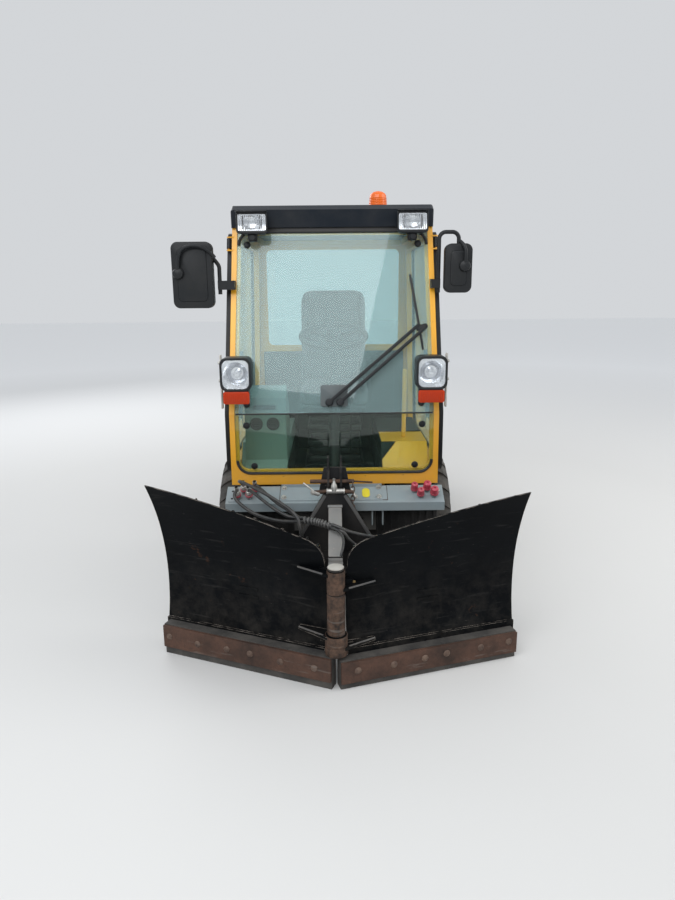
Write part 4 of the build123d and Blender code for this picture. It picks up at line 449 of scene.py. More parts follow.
# Light grey for painted highlights on the lit edges of black parts, with chips, rubbed edges and dust of its own
highlight_grey = painted(
    "highlight_grey", (0.060, 0.062, 0.064), 0.45, 0.4, dust_low=0.0, dust_high=1.0, chip=(0.16, 0.14, 0.12),
    edge=0.8
)
bare_grey = painted(
    "worn_grey_steel", (0.20, 0.205, 0.205), 0.4, 0.7, dust_low=0.0, dust_high=1.0, chip=(0.30, 0.27, 0.24),
    edge=0.8
)
plough_black = ploughed("plough_black")
roof_navy = moulded("roof_moulding", (0.006, 0.010, 0.016), 0.33, grain=0.05, dust=0.06, shine=0.22)
black_trim = moulded("black_trim", (0.011, 0.013, 0.015), 0.42, grain=0.12, dust=0.05, shine=0.28)
console_green = moulded("console_green", (0.15, 0.215, 0.20), 0.55, grain=0.15, dust=0.1)
liner_grey = moulded("liner_grey", (0.014, 0.020, 0.020), 0.75, grain=0.2, dust=0.04, shine=0.2)
plate_grey = moulded("plate_grey", (0.075, 0.095, 0.10), 0.45, grain=0.05, dust=0.2)
wrap_black = moulded("wrap_black", (0.055, 0.060, 0.064), 0.30, grain=0.0, dust=0.3)
cap_red = moulded("cap_red", (0.46, 0.035, 0.07), 0.4, grain=0.05, dust=0.2)
tag_yellow = moulded("tag_yellow", (0.72, 0.60, 0.02), 0.5, grain=0.0, dust=0.15)
orange_lens = moulded("orange_lens", (0.85, 0.16, 0.02), 0.2, grain=0.0, dust=0.05)
turn_orange = moulded("turn_lens", (0.46, 0.034, 0.003), 0.25, grain=0.0, dust=0.03, shine=0.25)
red_lens = moulded("red_lens", (0.50, 0.02, 0.02), 0.2, grain=0.0, dust=0.05)
strip_rust = rusted("strip_rust", (0.030, 0.017, 0.012), (0.115, 0.056, 0.036), scale=6.0, pits=0.5)
tube_rust = rusted("tube_rust", (0.012, 0.008, 0.006), (0.130, 0.072, 0.045), scale=30.0, pits=0.5)
engine_iron = rusted("engine_iron", (0.035, 0.034, 0.033), (0.075, 0.070, 0.065), scale=12.0, pits=0.3)
bolt_steel = rusted(
    "bolt_steel", (0.055, 0.030, 0.022), (0.16, 0.105, 0.075), scale=40.0, pits=0.3, gloss=0.6
)
lump_ochre = rusted("weld_lump", (0.12, 0.075, 0.03), (0.42, 0.30, 0.12), scale=60.0, pits=0.5)
tyre_rubber = rubbery("tyre_rubber", (0.022, 0.022, 0.022), 0.8, dust=0.75, scale=6.0)
bar_rubber = rubbery("bar_rubber", (0.030, 0.029, 0.028), 0.8, dust=0.5)
seal_rubber = rubbery("seal_rubber", (0.012, 0.012, 0.012), 0.6, dust=0.12)
hose_rubber = rubbery("hose_rubber", (0.018, 0.020, 0.022), 0.42, dust=0.3, scale=30)
seat_cloth = rubbery("seat_cloth", (0.055, 0.062, 0.068), 0.85, dust=0.15, scale=20)
rod_chrome = metal("rod_chrome", (0.78, 0.78, 0.80), 0.12, dull=0.1)
zinc = metal("zinc_plate", (0.58, 0.57, 0.54), 0.38, brushed=0.1, dull=0.45)
lamp_chrome = metal("lamp_reflector", (0.82, 0.83, 0.85), 0.08, dull=0.05)
mirror_glass = metal("mirror_glass", (0.60, 0.63, 0.66), 0.03, dull=0.05)
windscreen_glass = pane("windscreen_glass", (0.55, 0.75, 0.75), 0.06, clear=0.86)
lower_glass = pane("lower_glass", (0.62, 0.80, 0.70), 0.04, clear=0.99)
cab_glass = pane("cab_glass", (0.74, 0.84, 0.84), 0.05, clear=0.97)
lamp_glass = pane("lamp_glass", (0.93, 0.95, 0.96))
ribbed_glass = pane("ribbed_glass", (0.90, 0.92, 0.93), 0.25)

# What each CAD node wears
CAB_PANES = "windscreen_upper", "windscreen_lower", "rear_window", "door_glass_left", "door_glass_right"
CORNERS = "front_left", "front_right", "rear_left", "rear_right"
WORN = (
    (yellow, "cab_frame cab_floor bonnet"),
    (black_trim, "door_left door_right fuel_tank mirrors wiper steering grille"),
    (black_trim, "front_lamps work_lamps rear_guards"),
    (roof_navy, "roof"),
    (console_green, "console"),
    (seat_cloth, "seat"),
    (windscreen_glass, "windscreen_upper"),
    (lower_glass, "windscreen_lower"),
    (cab_glass, "rear_window door_glass_left door_glass_right"),
    (orange_lens, "beacon"),
    (red_lens, "tail_lamps"),
    (beam_grey, "front_beam"),
    (chassis_grey, "tool_box front_frame rear_frame front_axle rear_axle"),
    (engine_iron, "engine"),
    (hitch_black, "bulkhead plough_frame hitch_carrier lift_arms lift_links"),
    (hitch_black, "wing_barrel_left wing_barrel_right lift_barrel steer_barrel"),
    (rod_chrome, "wing_rod_left wing_rod_right lift_rod steer_rod"),
    (plough_black, "mouldboard_left mouldboard_right"),
    (strip_rust, "wear_strip_left wear_strip_right"),
    (bar_rubber, "plough_edge_left plough_edge_right"),
    (seal_rubber, "coupler_hoses boom_hoses"),
    (tyre_rubber, " ".join("tyre_" + corner for corner in CORNERS)),
    (rim_silver, " ".join("rim_" + corner for corner in CORNERS)),
)
for paint, names in WORN:
    for name in names.split():
        held = nodes[name].data.materials
        held.clear()
        held.append(paint)
for name in CAB_PANES:
    nodes[name].visible_shadow = False

# Building pieces
SHARP = math.radians(32)
RING_SHARP = math.radians(60)
BAR_ROUND, BAR_EASE = 0.45, 0.3
ACROSS, UP, FRONT = Vector((1, 0, 0)), Vector((0, 0, 1)), Vector((0, -1, 0))
SIDES = {"left": -1, "right": 1}


def put(bm, place, out=UP, up=UP):
    """Turns a form's own Z to face out and its Y up, and moves it to its place."""
    out = Vector(out).normalized()
    across = Vector(up).cross(out)
    if across.length < 0.01:
        across = ACROSS.copy()
    across.normalize()
    turn = Matrix((across, out.cross(across), out)).transposed().to_4x4()
    bmesh.ops.transform(bm, matrix=Matrix.Translation(place) @ turn, verts=bm.verts)
    return bm


def eased(bm, width, steps=2, angle=SHARP):
    """Rounds the form's sharp edges."""
    edges = [edge for edge in bm.edges if len(edge.link_faces) == 2 and edge.calc_face_angle(0) > angle]
    bmesh.ops.bevel(
        bm, geom=edges, offset=width, offset_type="OFFSET", segments=steps, profile=0.5, affect="EDGES",
        material=-1
    )
    return bm


def slab(low, high, edge=0.002):
    """A block between two corners with eased edges."""
    low, high = Vector(low), Vector(high)
    bm = bmesh.new()
    size = Matrix.Diagonal((*(high - low), 1))
    bmesh.ops.create_cube(bm, size=1, matrix=Matrix.Translation((low + high) / 2) @ size)
    return eased(bm, edge)


def side_slab(side, near, far, low, high, edge=0.002):
    """A block on one side of the machine, from near to far off its middle and between two (y, z) corners."""
    low_x, high_x = sorted((side * near, side * far))
    return slab((low_x, *low), (high_x, *high), edge)


def plate(outline, thick, edge=0.0):
    """An outline in its own XY plane, thickened along Z."""
    bm = bmesh.new()
    face = bm.faces.new([bm.verts.new((*point, 0)) for point in outline])
    grown = bmesh.ops.extrude_face_region(bm, geom=[face])["geom"]
    top = [item for item in grown if isinstance(item, bmesh.types.BMVert)]
    bmesh.ops.translate(bm, vec=(0, 0, thick), verts=top)
    bmesh.ops.recalc_face_normals(bm, faces=bm.faces)
    return eased(bm, edge) if edge else bm


def soft_outline(corners, steps=6):
    """An outline round its corners, each given as (x, y, radius), with steps + 1 points at each."""
    points = []
    for i, (x, y, radius) in enumerate(corners):
        here = Vector((x, y))
        back = (Vector(corners[i - 1][:2]) - here).normalized()
        on = (Vector(corners[(i + 1) % len(corners)][:2]) - here).normalized()
        half = back.angle(on) / 2
        centre = here + (back + on).normalized() * radius / math.sin(half)
        first = (here + back * radius / math.tan(half) - centre).normalized()
        last = (here + on * radius / math.tan(half) - centre).normalized()
        points += [centre + first.slerp(last, step / steps) * radius for step in range(steps + 1)]
    return points


def rounded(width, tall, radius, steps=6):
    """The outline of a rectangle with round corners, centred."""
    x, y = width / 2, tall / 2
    return soft_outline([(-x, -y, radius), (x, -y, radius), (x, y, radius), (-x, y, radius)], steps)


def frame_ring(outer, inner, thick, edge=0.0015):
    """A flat ring between two outlines of as many points."""
    bm = bmesh.new()
    rows = []
    for outline, z in ((outer, 0), (outer, thick), (inner, thick), (inner, 0)):
        rows.append([bm.verts.new((*point, z)) for point in outline])
    for row, after in zip(rows, rows[1:] + rows[:1]):
        for i in range(len(row)):
            j = (i + 1) % len(row)
            bm.faces.new((row[i], row[j], after[j], after[i]))
    bmesh.ops.recalc_face_normals(bm, faces=bm.faces)
    return eased(bm, edge, 2, RING_SHARP) if edge else bm


def turned(profile, place, out=UP, steps=32):
    """A turned form: points (radius, along) spun round the axis that points out of its place."""
    bm = bmesh.new()
    verts = [bm.verts.new((radius, 0, along)) for radius, along in profile]
    edges = [bm.edges.new(pair) for pair in zip(verts, verts[1:])]
    bmesh.ops.spin(
        bm, geom=verts + edges, cent=(0, 0, 0), axis=(0, 0, 1), angle=math.tau, steps=steps, use_merge=True
    )
    bmesh.ops.remove_doubles(bm, verts=bm.verts, dist=1e-5)
    bmesh.ops.recalc_face_normals(bm, faces=bm.faces)
    return put(bm, place, out)


def rod(start, end, radius, edge=0.001, steps=20):
    """A round bar with eased ends."""
    start, end = Vector(start), Vector(end)
    long = (end - start).length
    near_end = [(0, 0), (radius - edge, 0), (radius, edge)]
    far_end = [(radius, long - edge), (radius - edge, long), (0, long)]
    return turned(near_end + far_end, start, end - start, steps)


def flat_bar(start, end, wide, thick, out):
    """A flat bar with round ends from one point to another, its broad face out."""
    start, end = Vector(start), Vector(end)
    long = (end - start).length
    outline = rounded(wide, long, min(wide, long) * BAR_ROUND, 4)
    return put(plate(outline, thick, thick * BAR_EASE), (start + end) / 2, out, end - start)


def bolt(place, out, across=0.018, head=0.008):
    """A hexagon head on its washer."""
    washer_thick, washer_r, taper = 0.0025, across * 0.68, 0.96
    bm = bmesh.new()
    bmesh.ops.create_cone(
        bm, cap_ends=True, segments=6, radius1=across / 2, radius2=across / 2 * taper, depth=head,
        matrix=Matrix.Translation((0, 0, head / 2 + 0.002))
    )
    put(eased(bm, 0.0008, 1), place, out)
    return join(bm, rod(place, Vector(place) + Vector(out).normalized() * washer_thick, washer_r, 0.0005))


def smooth_line(route, steps=8):
    """The points of the smooth spline that a route's control points give."""
    curve = bpy.data.curves.new("route", "CURVE")
    curve.dimensions = "3D"
    curve.resolution_u = steps
    spline = curve.splines.new("NURBS")
    spline.points.add(len(route) - 1)
    for point, place in zip(spline.points, route):
        point.co = (*place, 1)
    spline.order_u = 3
    spline.use_endpoint_u = True
    holder = bpy.data.objects.new("route", curve)
    mesh = bpy.data.meshes.new_from_object(holder)
    line = [vertex.co.copy() for vertex in mesh.vertices]
    bpy.data.objects.remove(holder)
    bpy.data.curves.remove(curve)
    bpy.data.meshes.remove(mesh)
    return line


def ways(line):
    """At each point of a line, the way on and two ways across it that don't twist."""
    side = (line[1] - line[0]).orthogonal().normalized()
    for i in range(len(line)):
        on = (line[min(i + 1, len(line) - 1)] - line[max(i - 1, 0)]).normalized()
        side = (side - on * side.dot(on)).normalized()
        yield on, side, on.cross(side)


def tube(line, radius, sides=14):
    """A round tube along a line, closed at both ends."""
    bm = bmesh.new()
    rings = []
    angles = [math.tau * i / sides for i in range(sides)]
    for at, (_, side, other) in zip(line, ways(line)):
        rings.append([bm.verts.new(at + (side * math.cos(a) + other * math.sin(a)) * radius) for a in angles])
    for ring, after in zip(rings, rings[1:]):
        for i in range(sides):
            j = (i + 1) % sides
            bm.faces.new((ring[i], ring[j], after[j], after[i]))
    bm.faces.new(reversed(rings[0]))
    bm.faces.new(rings[-1])
    bmesh.ops.recalc_face_normals(bm, faces=bm.faces)
    return bm


def length_of(line):
    return sum((b - a).length for a, b in zip(line, line[1:]))


def join(bm, *others):
    """Adds other forms to the first one."""
    for other in others:
        mesh = bpy.data.meshes.new("joined")
        other.to_mesh(mesh)
        other.free()
        bm.from_mesh(mesh)
        bpy.data.meshes.remove(mesh)
    return bm


def piece(name, forms, paint, slot, body="front_module", stands_for=()):
    """A finished piece: its forms as one mesh, its finish, its body and the nodes that it stands for."""
    bm = join(*forms)
    for face in bm.faces:
        face.smooth = True
    for edge in bm.edges:
        edge.smooth = len(edge.link_faces) == 2 and edge.calc_face_angle(0) < SHARP
    mesh = bpy.data.meshes.new(name)
    bm.to_mesh(mesh)
    bm.free()
    mesh.materials.append(paint)
    made = bpy.data.objects.new(name, mesh)
    scene.collection.objects.link(made)
    if body:
        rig.ride(made, body)
    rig.slot(made, slot)
    if stands_for:
        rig.replaces(made, *stands_for)
    return made


# Plough wings: the strips' domed bolts, beads on the lugs' edges coloured light as painted highlights, and the weld
# lumps
HINGE_Y = -1.645
SWEPT = {"left": math.radians(22.5), "right": math.radians(17.5)}
STRIP_FACE = 0.057
STRIP_BOLTS = {
    "left": [(0.076, 0.088), (0.232, 0.084), (0.375, 0.090), (0.488, 0.088), (0.636, 0.082), (0.783, 0.090)],
    "right": [(0.074, 0.080), (0.232, 0.078), (0.373, 0.080), (0.474, 0.084), (0.636, 0.082), (0.774, 0.086)],
}
BOLT_DOME = [(0.0155, -0.001), (0.0155, 0.001), (0.013, 0.0042), (0.0085, 0.0062), (0, 0.007)]
LUG_LINES = {"left": (0.216, 0.484), "right": (0.169, 0.424)}
LUG_ENDS = ((0.046, 0.028), (0.170, -0.004))
LUG_HALF, LUG_BEAD_R = 0.0115, 0.0038
LUMPS = [
    (0.052, 0.440, 0.010), (0.066, 0.428, 0.013), (0.082, 0.436, 0.009),
    (0.074, 0.418, 0.009), (0.056, 0.422, 0.008),
]
LUMP_DEEP = -0.018


def on_wing(side, u, n, z):
    """A wing's point, u along it and n ahead of its back edge line."""
    swept = SWEPT[side]
    x = u * math.cos(swept) + n * math.sin(swept)
    y = HINGE_Y + u * math.sin(swept) - n * math.cos(swept)
    return Vector((SIDES[side] * x, y, z))


def wing_out(side):
    """The way that a wing faces."""
    return Vector((SIDES[side] * math.sin(SWEPT[side]), -math.cos(SWEPT[side]), 0))


def strip_bolts(side):
    out = wing_out(side)
    heads = [turned(BOLT_DOME, on_wing(side, u, STRIP_FACE, z), out, 20) for u, z in STRIP_BOLTS[side]]
    piece("strip_bolts_" + side, heads, bolt_steel, "rusty_steel", "wing_" + side)


def lug_edge_highlights(side):
    """A round bead along the top of each knuckle's lug, coloured light grey as a painted highlight of the lit edge."""
    beads = []
    for z in LUG_LINES[side]:
        start, end = (on_wing(side, u, n, z + LUG_HALF) for u, n in LUG_ENDS)
        beads.append(rod(start, end, LUG_BEAD_R, 0.001, 10))
    piece("lug_edge_highlights_" + side, beads, highlight_grey, "black_paint", "wing_" + side)


def weld_lumps():
    """Ochre lumps on the right wing, beside its upper lug."""
    lumps = []
    for u, z, radius in LUMPS:
        dome = [(radius, 0), (radius * 0.8, radius * 0.4), (radius * 0.4, radius * 0.62), (0, radius * 0.7)]
        lumps.append(turned(dome, on_wing("right", u, LUMP_DEEP, z), wing_out("right"), 10))
    piece("weld_lumps", lumps, lump_ochre, "rusty_steel", "wing_right")


for side in SIDES:
    strip_bolts(side)
    lug_edge_highlights(side)
weld_lumps()

# Hinge: rusty sleeves on its knuckles and a worn cap
COLUMN_R, SLEEVE_R = 0.036, 0.046
SLEEVE_WALL, SLEEVE_LIP, SLEEVE_EDGE = 0.0008, 0.003, 0.002
SLEEVES = {
    "wing_left": [(0.184, 0.228, SLEEVE_R), (0.462, 0.506, COLUMN_R)],
    "wing_right": [(0.1435, 0.182, SLEEVE_R), (0.412, 0.460, COLUMN_R)],
    "hitch": [(0.234, 0.406, COLUMN_R)],
}
CAP_Z = 0.522
CAP_CROWN = [
    (0.0325, -0.003), (0.0337, -0.0025), (0.0337, -0.001), (0.0315, 0.001), (0.020, 0.003), (0, 0.0035),
]


def hinge_sleeves(body, bands):
    """The rusty skins of the knuckles on one body, each band given as (low, high, radius)."""
    skins = []
    for low, high, radius in bands:
        inside, outside = radius - SLEEVE_LIP, radius + SLEEVE_WALL
        profile = [
            (inside, low - SLEEVE_WALL), (radius, low - SLEEVE_WALL), (outside, low + SLEEVE_EDGE),
            (outside, high - SLEEVE_EDGE), (radius, high + SLEEVE_WALL), (inside, high + SLEEVE_WALL),
        ]
        skins.append(turned(profile, (0, HINGE_Y, 0), UP, 40))
    piece("hinge_sleeves_" + body, skins, tube_rust, "rusty_steel", body)


for body, bands in SLEEVES.items():
    hinge_sleeves(body, bands)
piece("hinge_cap", [turned(CAP_CROWN, (0, HINGE_Y, CAP_Z), UP, 40)], worn_white, "black_paint", "hitch")

# Boom: its worn top and front end
BOOM_RISE = 0.3482
BOOM_UP, ALONG_BOOM = Vector((0, -BOOM_RISE, 1)).normalized(), Vector((0, 1, BOOM_RISE))
BOOM_HALF, NOSE_HALF = 0.029, 0.0295
BOOM_END_Y = -1.5866


def boom_worn_top():
    """The rubbed top of the boom, the collar at its root and the sheet over its front end."""
    top = plate(rounded(2 * BOOM_HALF, 0.325, 0.004, 3), 0.0012, 0.0004)
    collar = plate(rounded(0.066, 0.016, 0.002), 0.005, 0.001)
    forms = [
        put(top, (0, -1.4225, 0.5895), BOOM_UP, ALONG_BOOM),
        put(collar, (0, -1.262, 0.6455), BOOM_UP, ALONG_BOOM),
        slab((-BOOM_HALF, BOOM_END_Y, 0.5168), (BOOM_HALF, BOOM_END_Y + 0.0014, 0.5335), 0.0004),
        slab((-NOSE_HALF, -1.612, 0.5161), (NOSE_HALF, BOOM_END_Y, 0.5174), 0.0003),
    ]
    piece("boom_worn_top", forms, bare_grey, "black_paint", "hitch")


boom_worn_top()

# Hitch triangle: light strips down its legs as painted highlights of their lit edges, and a dark sheet in its window
# as painted shade
FRAME_FACE_Y = -1.2483
LEG_TOP, LEG_FOOT = (0.0442, 0.6954), (0.2145, 0.4054)
LEG_WIDE, LEG_THICK = 0.015, 0.002


def triangle_leg_highlights():
    # Light strips on the legs' front faces: painted highlights of their lit edges
    strips = []
    for side in SIDES.values():
        start, end = (Vector((side * x, FRAME_FACE_Y, z)) for x, z in (LEG_TOP, LEG_FOOT))
        strip = plate(rounded(LEG_WIDE, (end - start).length, 0.003), LEG_THICK, 0.0008)
        strips.append(put(strip, (start + end) / 2, FRONT, end - start))
    piece("triangle_leg_highlights", strips, highlight_grey, "black_paint", "hitch")


def window_shade_sheet():
    """A dark sheet in the triangle's window, painted shade for the shadowed floor seen through it, with a stiffener
    along its foot.
    """
    sheet = slab((-0.145, FRAME_FACE_Y + 0.003, 0.325), (0.145, FRAME_FACE_Y + 0.009, 0.4315), 0.001)
    stiffener = slab((-0.137, FRAME_FACE_Y, 0.335), (0.137, FRAME_FACE_Y + 0.004, 0.345), 0.001)
    piece("window_shade_sheet", [sheet, stiffener], hitch_black, "black_paint", "hitch")


triangle_leg_highlights()
window_shade_sheet()

# Cab front: the leaning faces that the seals, bolts, wiper and mirrors are placed from
KINK_Z, NOSE_Y, BROW = 1.040, -1.100, 0.210
FOOT_Z, FOOT_BACK, TOP_Z = 0.690, 0.050, 1.870
HALF_LOW, HALF_TOP = 0.490, 0.460
PILLAR = 0.024
PANE_SINK = 0.004


def cab_y(z):
    """The cab's front face, which leans back above and below its nose."""
    if z > KINK_Z:
        return NOSE_Y + BROW * (z - KINK_Z) / (TOP_Z - KINK_Z)
    return NOSE_Y + FOOT_BACK * (KINK_Z - z) / (KINK_Z - FOOT_Z)


def cab_half(z):
    """Half the cab's width at a height."""
    return HALF_LOW + (HALF_TOP - HALF_LOW) * (z - FOOT_Z) / (TOP_Z - FOOT_Z)


def cab_slope(z):
    """The way up along the front face, and the way out of it."""
    along = Vector((0, BROW, TOP_Z - KINK_Z) if z > KINK_Z else (0, -FOOT_BACK, KINK_Z - FOOT_Z)).normalized()
    return along, ACROSS.cross(along)


def on_cab(x, z, off=0.0):
    return Vector((x, cab_y(z), z)) + cab_slope(z)[1] * off


def on_pane(x, z, off):
    return on_cab(x, z, off - PANE_SINK)


# Windscreen: beads round the panes' ends, the strip between them, the gasket and the pane bolts
SEAL_R = 0.0068
BEAD_ROUND, BEAD_STEPS = 0.062, 8
JOINT_HALF_WIDE, JOINT_HALF_TALL = 0.452, 0.0035
GASKET_Z = 1.8605
PANE_BOLTS = ((0.400, 1.085), (0.405, 0.985), (0.378, 0.785), (0.392, 1.795))
PANE_KNOB = [(0.016, 0), (0.016, 0.004), (0.0125, 0.009), (0.006, 0.0115), (0, 0.012)]


def seal_bead(joint, end):
    """A rubber bead along the end of a pane and round its two corners, seen from the panes' joint."""
    along = cab_slope((joint + end) / 2)[0]
    tall = (on_cab(0, end) - on_cab(0, joint)).length
    at_joint, at_end = (cab_half(z) - PILLAR - SEAL_R for z in (joint, end))
    joint_corners = [(-at_joint, 0, 0.001), (at_joint, 0, 0.001)]
    end_corners = [(at_end, tall, BEAD_ROUND), (-at_end, tall, BEAD_ROUND)]
    outline = soft_outline(joint_corners + end_corners, BEAD_STEPS)
    up = along if end > joint else -along
    round_end = outline[2 * (BEAD_STEPS + 1):]
    line = [on_cab(0, joint, -0.001) + ACROSS * point.x + up * point.y for point in round_end]
    return tube(line, SEAL_R, 10)


def windscreen_seals():
    low = (-JOINT_HALF_WIDE, NOSE_Y - 0.0015, KINK_Z - JOINT_HALF_TALL)
    high = (JOINT_HALF_WIDE, NOSE_Y + 0.004, KINK_Z + JOINT_HALF_TALL)
    along, out = cab_slope(GASKET_Z)
    gasket = put(plate(rounded(0.874, 0.022, 0.004), 0.0045, 0.001), on_cab(0, GASKET_Z, 0.0005), out, along)
    forms = [seal_bead(1.041, 1.852), seal_bead(1.039, 0.748), slab(low, high, 0.001), gasket]
    piece("windscreen_seals", forms, seal_rubber, "black_plastic")


def pane_bolts():
    knobs = []
    for x, z in PANE_BOLTS:
        out = cab_slope(z)[1]
        knobs += [turned(PANE_KNOB, on_cab(side * x, z, -0.004), out, 20) for side in SIDES.values()]
    piece("pane_bolts", knobs, black_trim, "black_plastic")


windscreen_seals()
pane_bolts()

# Cab inside: dark liner on the rear wall, ribbed mat on the floor, lining of the pan round the seat
LINER_PANELS = (-0.30, -0.10, 0.10, 0.30)
MAT_RIBS, MAT_HALF = 15, 0.20
PAN_HALF = 0.2285


def rear_liner():
    forms = [slab((-0.425, 0.004, 0.66), (0.425, 0.016, 1.225), 0.006)]
    forms += [slab((x - 0.07, -0.001, 0.72), (x + 0.07, 0.006, 1.18), 0.004) for x in LINER_PANELS]
    piece("rear_liner", forms, liner_grey, "black_plastic")


def floor_mat():
    forms = [slab((-0.22, -1.02, 0.6215), (0.22, -0.62, 0.6275), 0.002)]
    for i in range(MAT_RIBS):
        x = -MAT_HALF + 2 * MAT_HALF * i / (MAT_RIBS - 1)
        forms.append(slab((x - 0.006, -1.0, 0.627), (x + 0.006, -0.64, 0.631), 0.0015))
    piece("floor_mat", forms, seal_rubber, "black_plastic")


def pan_lining():
    """The lining of the pan's two sides, of its floor behind the mat and of its back."""
    low, high = (-0.985, 0.63), (-0.02, 0.77)
    forms = [side_slab(side, 0.223, PAN_HALF, low, high, 0.001) for side in SIDES.values()]
    forms.append(slab((-0.229, -0.62, 0.6202), (0.229, -0.012, 0.6235), 0.001))
    forms.append(slab((-PAN_HALF, -0.0135, 0.621), (PAN_HALF, -0.0095, 0.7425), 0.001))
    piece("pan_lining", forms, liner_grey, "black_plastic")


rear_liner()
floor_mat()
pan_lining()

# Headlamps with their turn lamps
FLUTE_PITCH = 0.0084
LAMP_X, LAMP_Z, LAMP_FACE = 0.430, 1.234, -1.190
TURN_Z = 1.131
HEADLAMPS = [Vector((side * LAMP_X, LAMP_FACE, LAMP_Z)) for side in SIDES.values()]
TURN_LAMPS = [Vector((side * LAMP_X, LAMP_FACE, TURN_Z)) for side in SIDES.values()]
LAMP_RIM, LAMP_OPENING = (0.137, 0.147, 0.030), (0.117, 0.125, 0.026)
LAMP_BOWL = [
    (0.0535, 0.001), (0.0455, -0.009), (0.036, -0.021), (0.024, -0.0355), (0.010, -0.0375), (0.010, -0.020),
    (0, -0.017),
]
STRAP_OFF, STRAP_HALF, STRAP_BOLT_Y = 0.072, 0.004, -1.138


def flutes(at, count, half, deep, edge):
    """Upright ribs over a lamp's face, each half (wide, tall) and from one depth to another."""
    half_wide, half_tall = half
    ribs = []
    for i in range(count):
        x = at.x + FLUTE_PITCH * (i - (count - 1) / 2)
        low = (x - half_wide, at.y + deep[0], at.z - half_tall)
        high = (x + half_wide, at.y + deep[1], at.z + half_tall)
        ribs.append(slab(low, high, edge))
    return ribs


def lamp_bezel(at):
    ring = frame_ring(rounded(*LAMP_RIM), rounded(*LAMP_OPENING), 0.016, 0.003)
    return put(ring, at + Vector((0, 0.003, 0)), FRONT)


def lamp_bowl(at):
    """The bright bowl and the flat field round it."""
    field = frame_ring(rounded(*LAMP_OPENING), rounded(0.107, 0.107, 0.0534), 0.004, 0)
    return join(put(field, at, FRONT), turned(LAMP_BOWL, at, FRONT, 40))


def lamp_lens(at):
    return put(plate(rounded(0.116, 0.124, 0.026), 0.003, 0.001), at + Vector((0, -0.009, 0)), FRONT)


def turn_lens(at):
    lens = put(plate(rounded(0.116, 0.056, 0.010), 0.010, 0.003), at, FRONT)
    return join(lens, *flutes(at, 13, (0.0022, 0.022), (-0.0125, -0.009), 0.0009))


def lamp_strap(side):
    """The bright strap on a lamp's outer side, with its two bolts."""
    x = side * (LAMP_X + STRAP_OFF)
    strap = slab((x - STRAP_HALF, -1.150, 1.075), (x + STRAP_HALF, -1.126, 1.315), 0.002)
    heads = [bolt((x + side * STRAP_HALF, STRAP_BOLT_Y, z), (side, 0, 0), 0.014, 0.006) for z in (1.20, 1.28)]
    return join(strap, *heads)


piece("headlamp_bezels", [lamp_bezel(at) for at in HEADLAMPS], black_trim, "black_plastic")
piece("headlamp_reflectors", [lamp_bowl(at) for at in HEADLAMPS], lamp_chrome, "ram_chrome")
piece("headlamp_lenses", [lamp_lens(at) for at in HEADLAMPS], lamp_glass, "glass").visible_shadow = False
piece("turn_lenses", [turn_lens(at) for at in TURN_LAMPS], turn_orange, "orange_lens")
piece("headlamp_straps", [lamp_strap(side) for side in SIDES.values()], zinc, "black_plastic")

# Work lamps under the roof's front edge
WORK_X, WORK_Z, WORK_FACE = 0.360, 1.886, -0.9711
WORK_LAMPS = [Vector((side * WORK_X, WORK_FACE, WORK_Z)) for side in SIDES.values()]
WORK_RIM, WORK_OPENING = (0.140, 0.096, 0.014), (0.126, 0.072, 0.010)
WORK_BOWL = [(0.038, 0.002), (0.034, -0.004), (0.022, -0.014), (0.010, -0.018), (0, -0.018)]
WORK_BOLT_Z = 1.822


def work_bezel(at):
    """The rim, and the visor over it."""
    rim = put(frame_ring(rounded(*WORK_RIM), rounded(*WORK_OPENING), 0.010, 0.002), at, FRONT)
    visor_low, visor_high = Vector((-0.070, -0.028, 0.044)), Vector((0.070, 0.01, 0.049))
    return join(rim, slab(at + visor_low, at + visor_high, 0.002))


def work_bowl(at):
    """The bright bowl, the plate behind it and the flat field round it."""
    back = put(plate(rounded(0.097, 0.079, 0.008), 0.002), at + Vector((0, 0.0235, 0)), FRONT)
    field = frame_ring(rounded(*WORK_OPENING), rounded(0.090, 0.060, 0.008), 0.002, 0)
    return join(back, turned(WORK_BOWL, at, FRONT, 32), put(field, at, FRONT))


def work_lens(at):
    return join(*flutes(at, 15, (0.0038, 0.0345), (-0.0085, -0.003), 0.0018))


def work_bracket(at):
    """The plate behind the lamp's foot, its bolt and the shelf that it stands on."""
    back = slab((at.x - 0.022, at.y + 0.012, 1.812), (at.x + 0.022, at.y + 0.018, 1.842), 0.002)
    pin = rod((at.x, at.y - 0.004, WORK_BOLT_Z), (at.x, at.y + 0.020, WORK_BOLT_Z), 0.014, 0.003)
    shelf = slab((at.x - 0.020, at.y + 0.016, 1.806), (at.x + 0.020, at.y + 0.052, 1.812), 0.002)
    return join(back, pin, shelf)


piece("work_lamp_bezels", [work_bezel(at) for at in WORK_LAMPS], black_trim, "black_plastic")
piece("work_lamp_reflectors", [work_bowl(at) for at in WORK_LAMPS], lamp_chrome, "ram_chrome")
piece("work_lamp_lenses", [work_lens(at) for at in WORK_LAMPS], ribbed_glass, "glass").visible_shadow = False
piece("work_lamp_brackets", [work_bracket(at) for at in WORK_LAMPS], black_trim, "black_plastic")

# Beacon
BEACON_FOOT = [(0.058, 0), (0.058, 0.024), (0.054, 0.030), (0, 0.030)]
BEACON_SHOULDER, BEACON_CROWN_R, BEACON_RIBS = 0.110, 0.0455, 9


def beacon_dome(tall):
    """The dome's profile: a ribbed wall that narrows upwards, and a round crown."""
    profile = [(0.050, 0.030)]
    for i in range(BEACON_RIBS):
        z = 0.034 + 0.0085 * i
        profile += [(0.0525 - 0.0006 * i, z), (0.0505 - 0.0006 * i, z + 0.0042)]
    for i in range(1, 7):
        angle = math.pi / 2 * i / 7
        rise = (tall - BEACON_SHOULDER) * math.sin(angle)
        profile.append((BEACON_CROWN_R * math.cos(angle), BEACON_SHOULDER + rise))
    return profile + [(0, tall)]


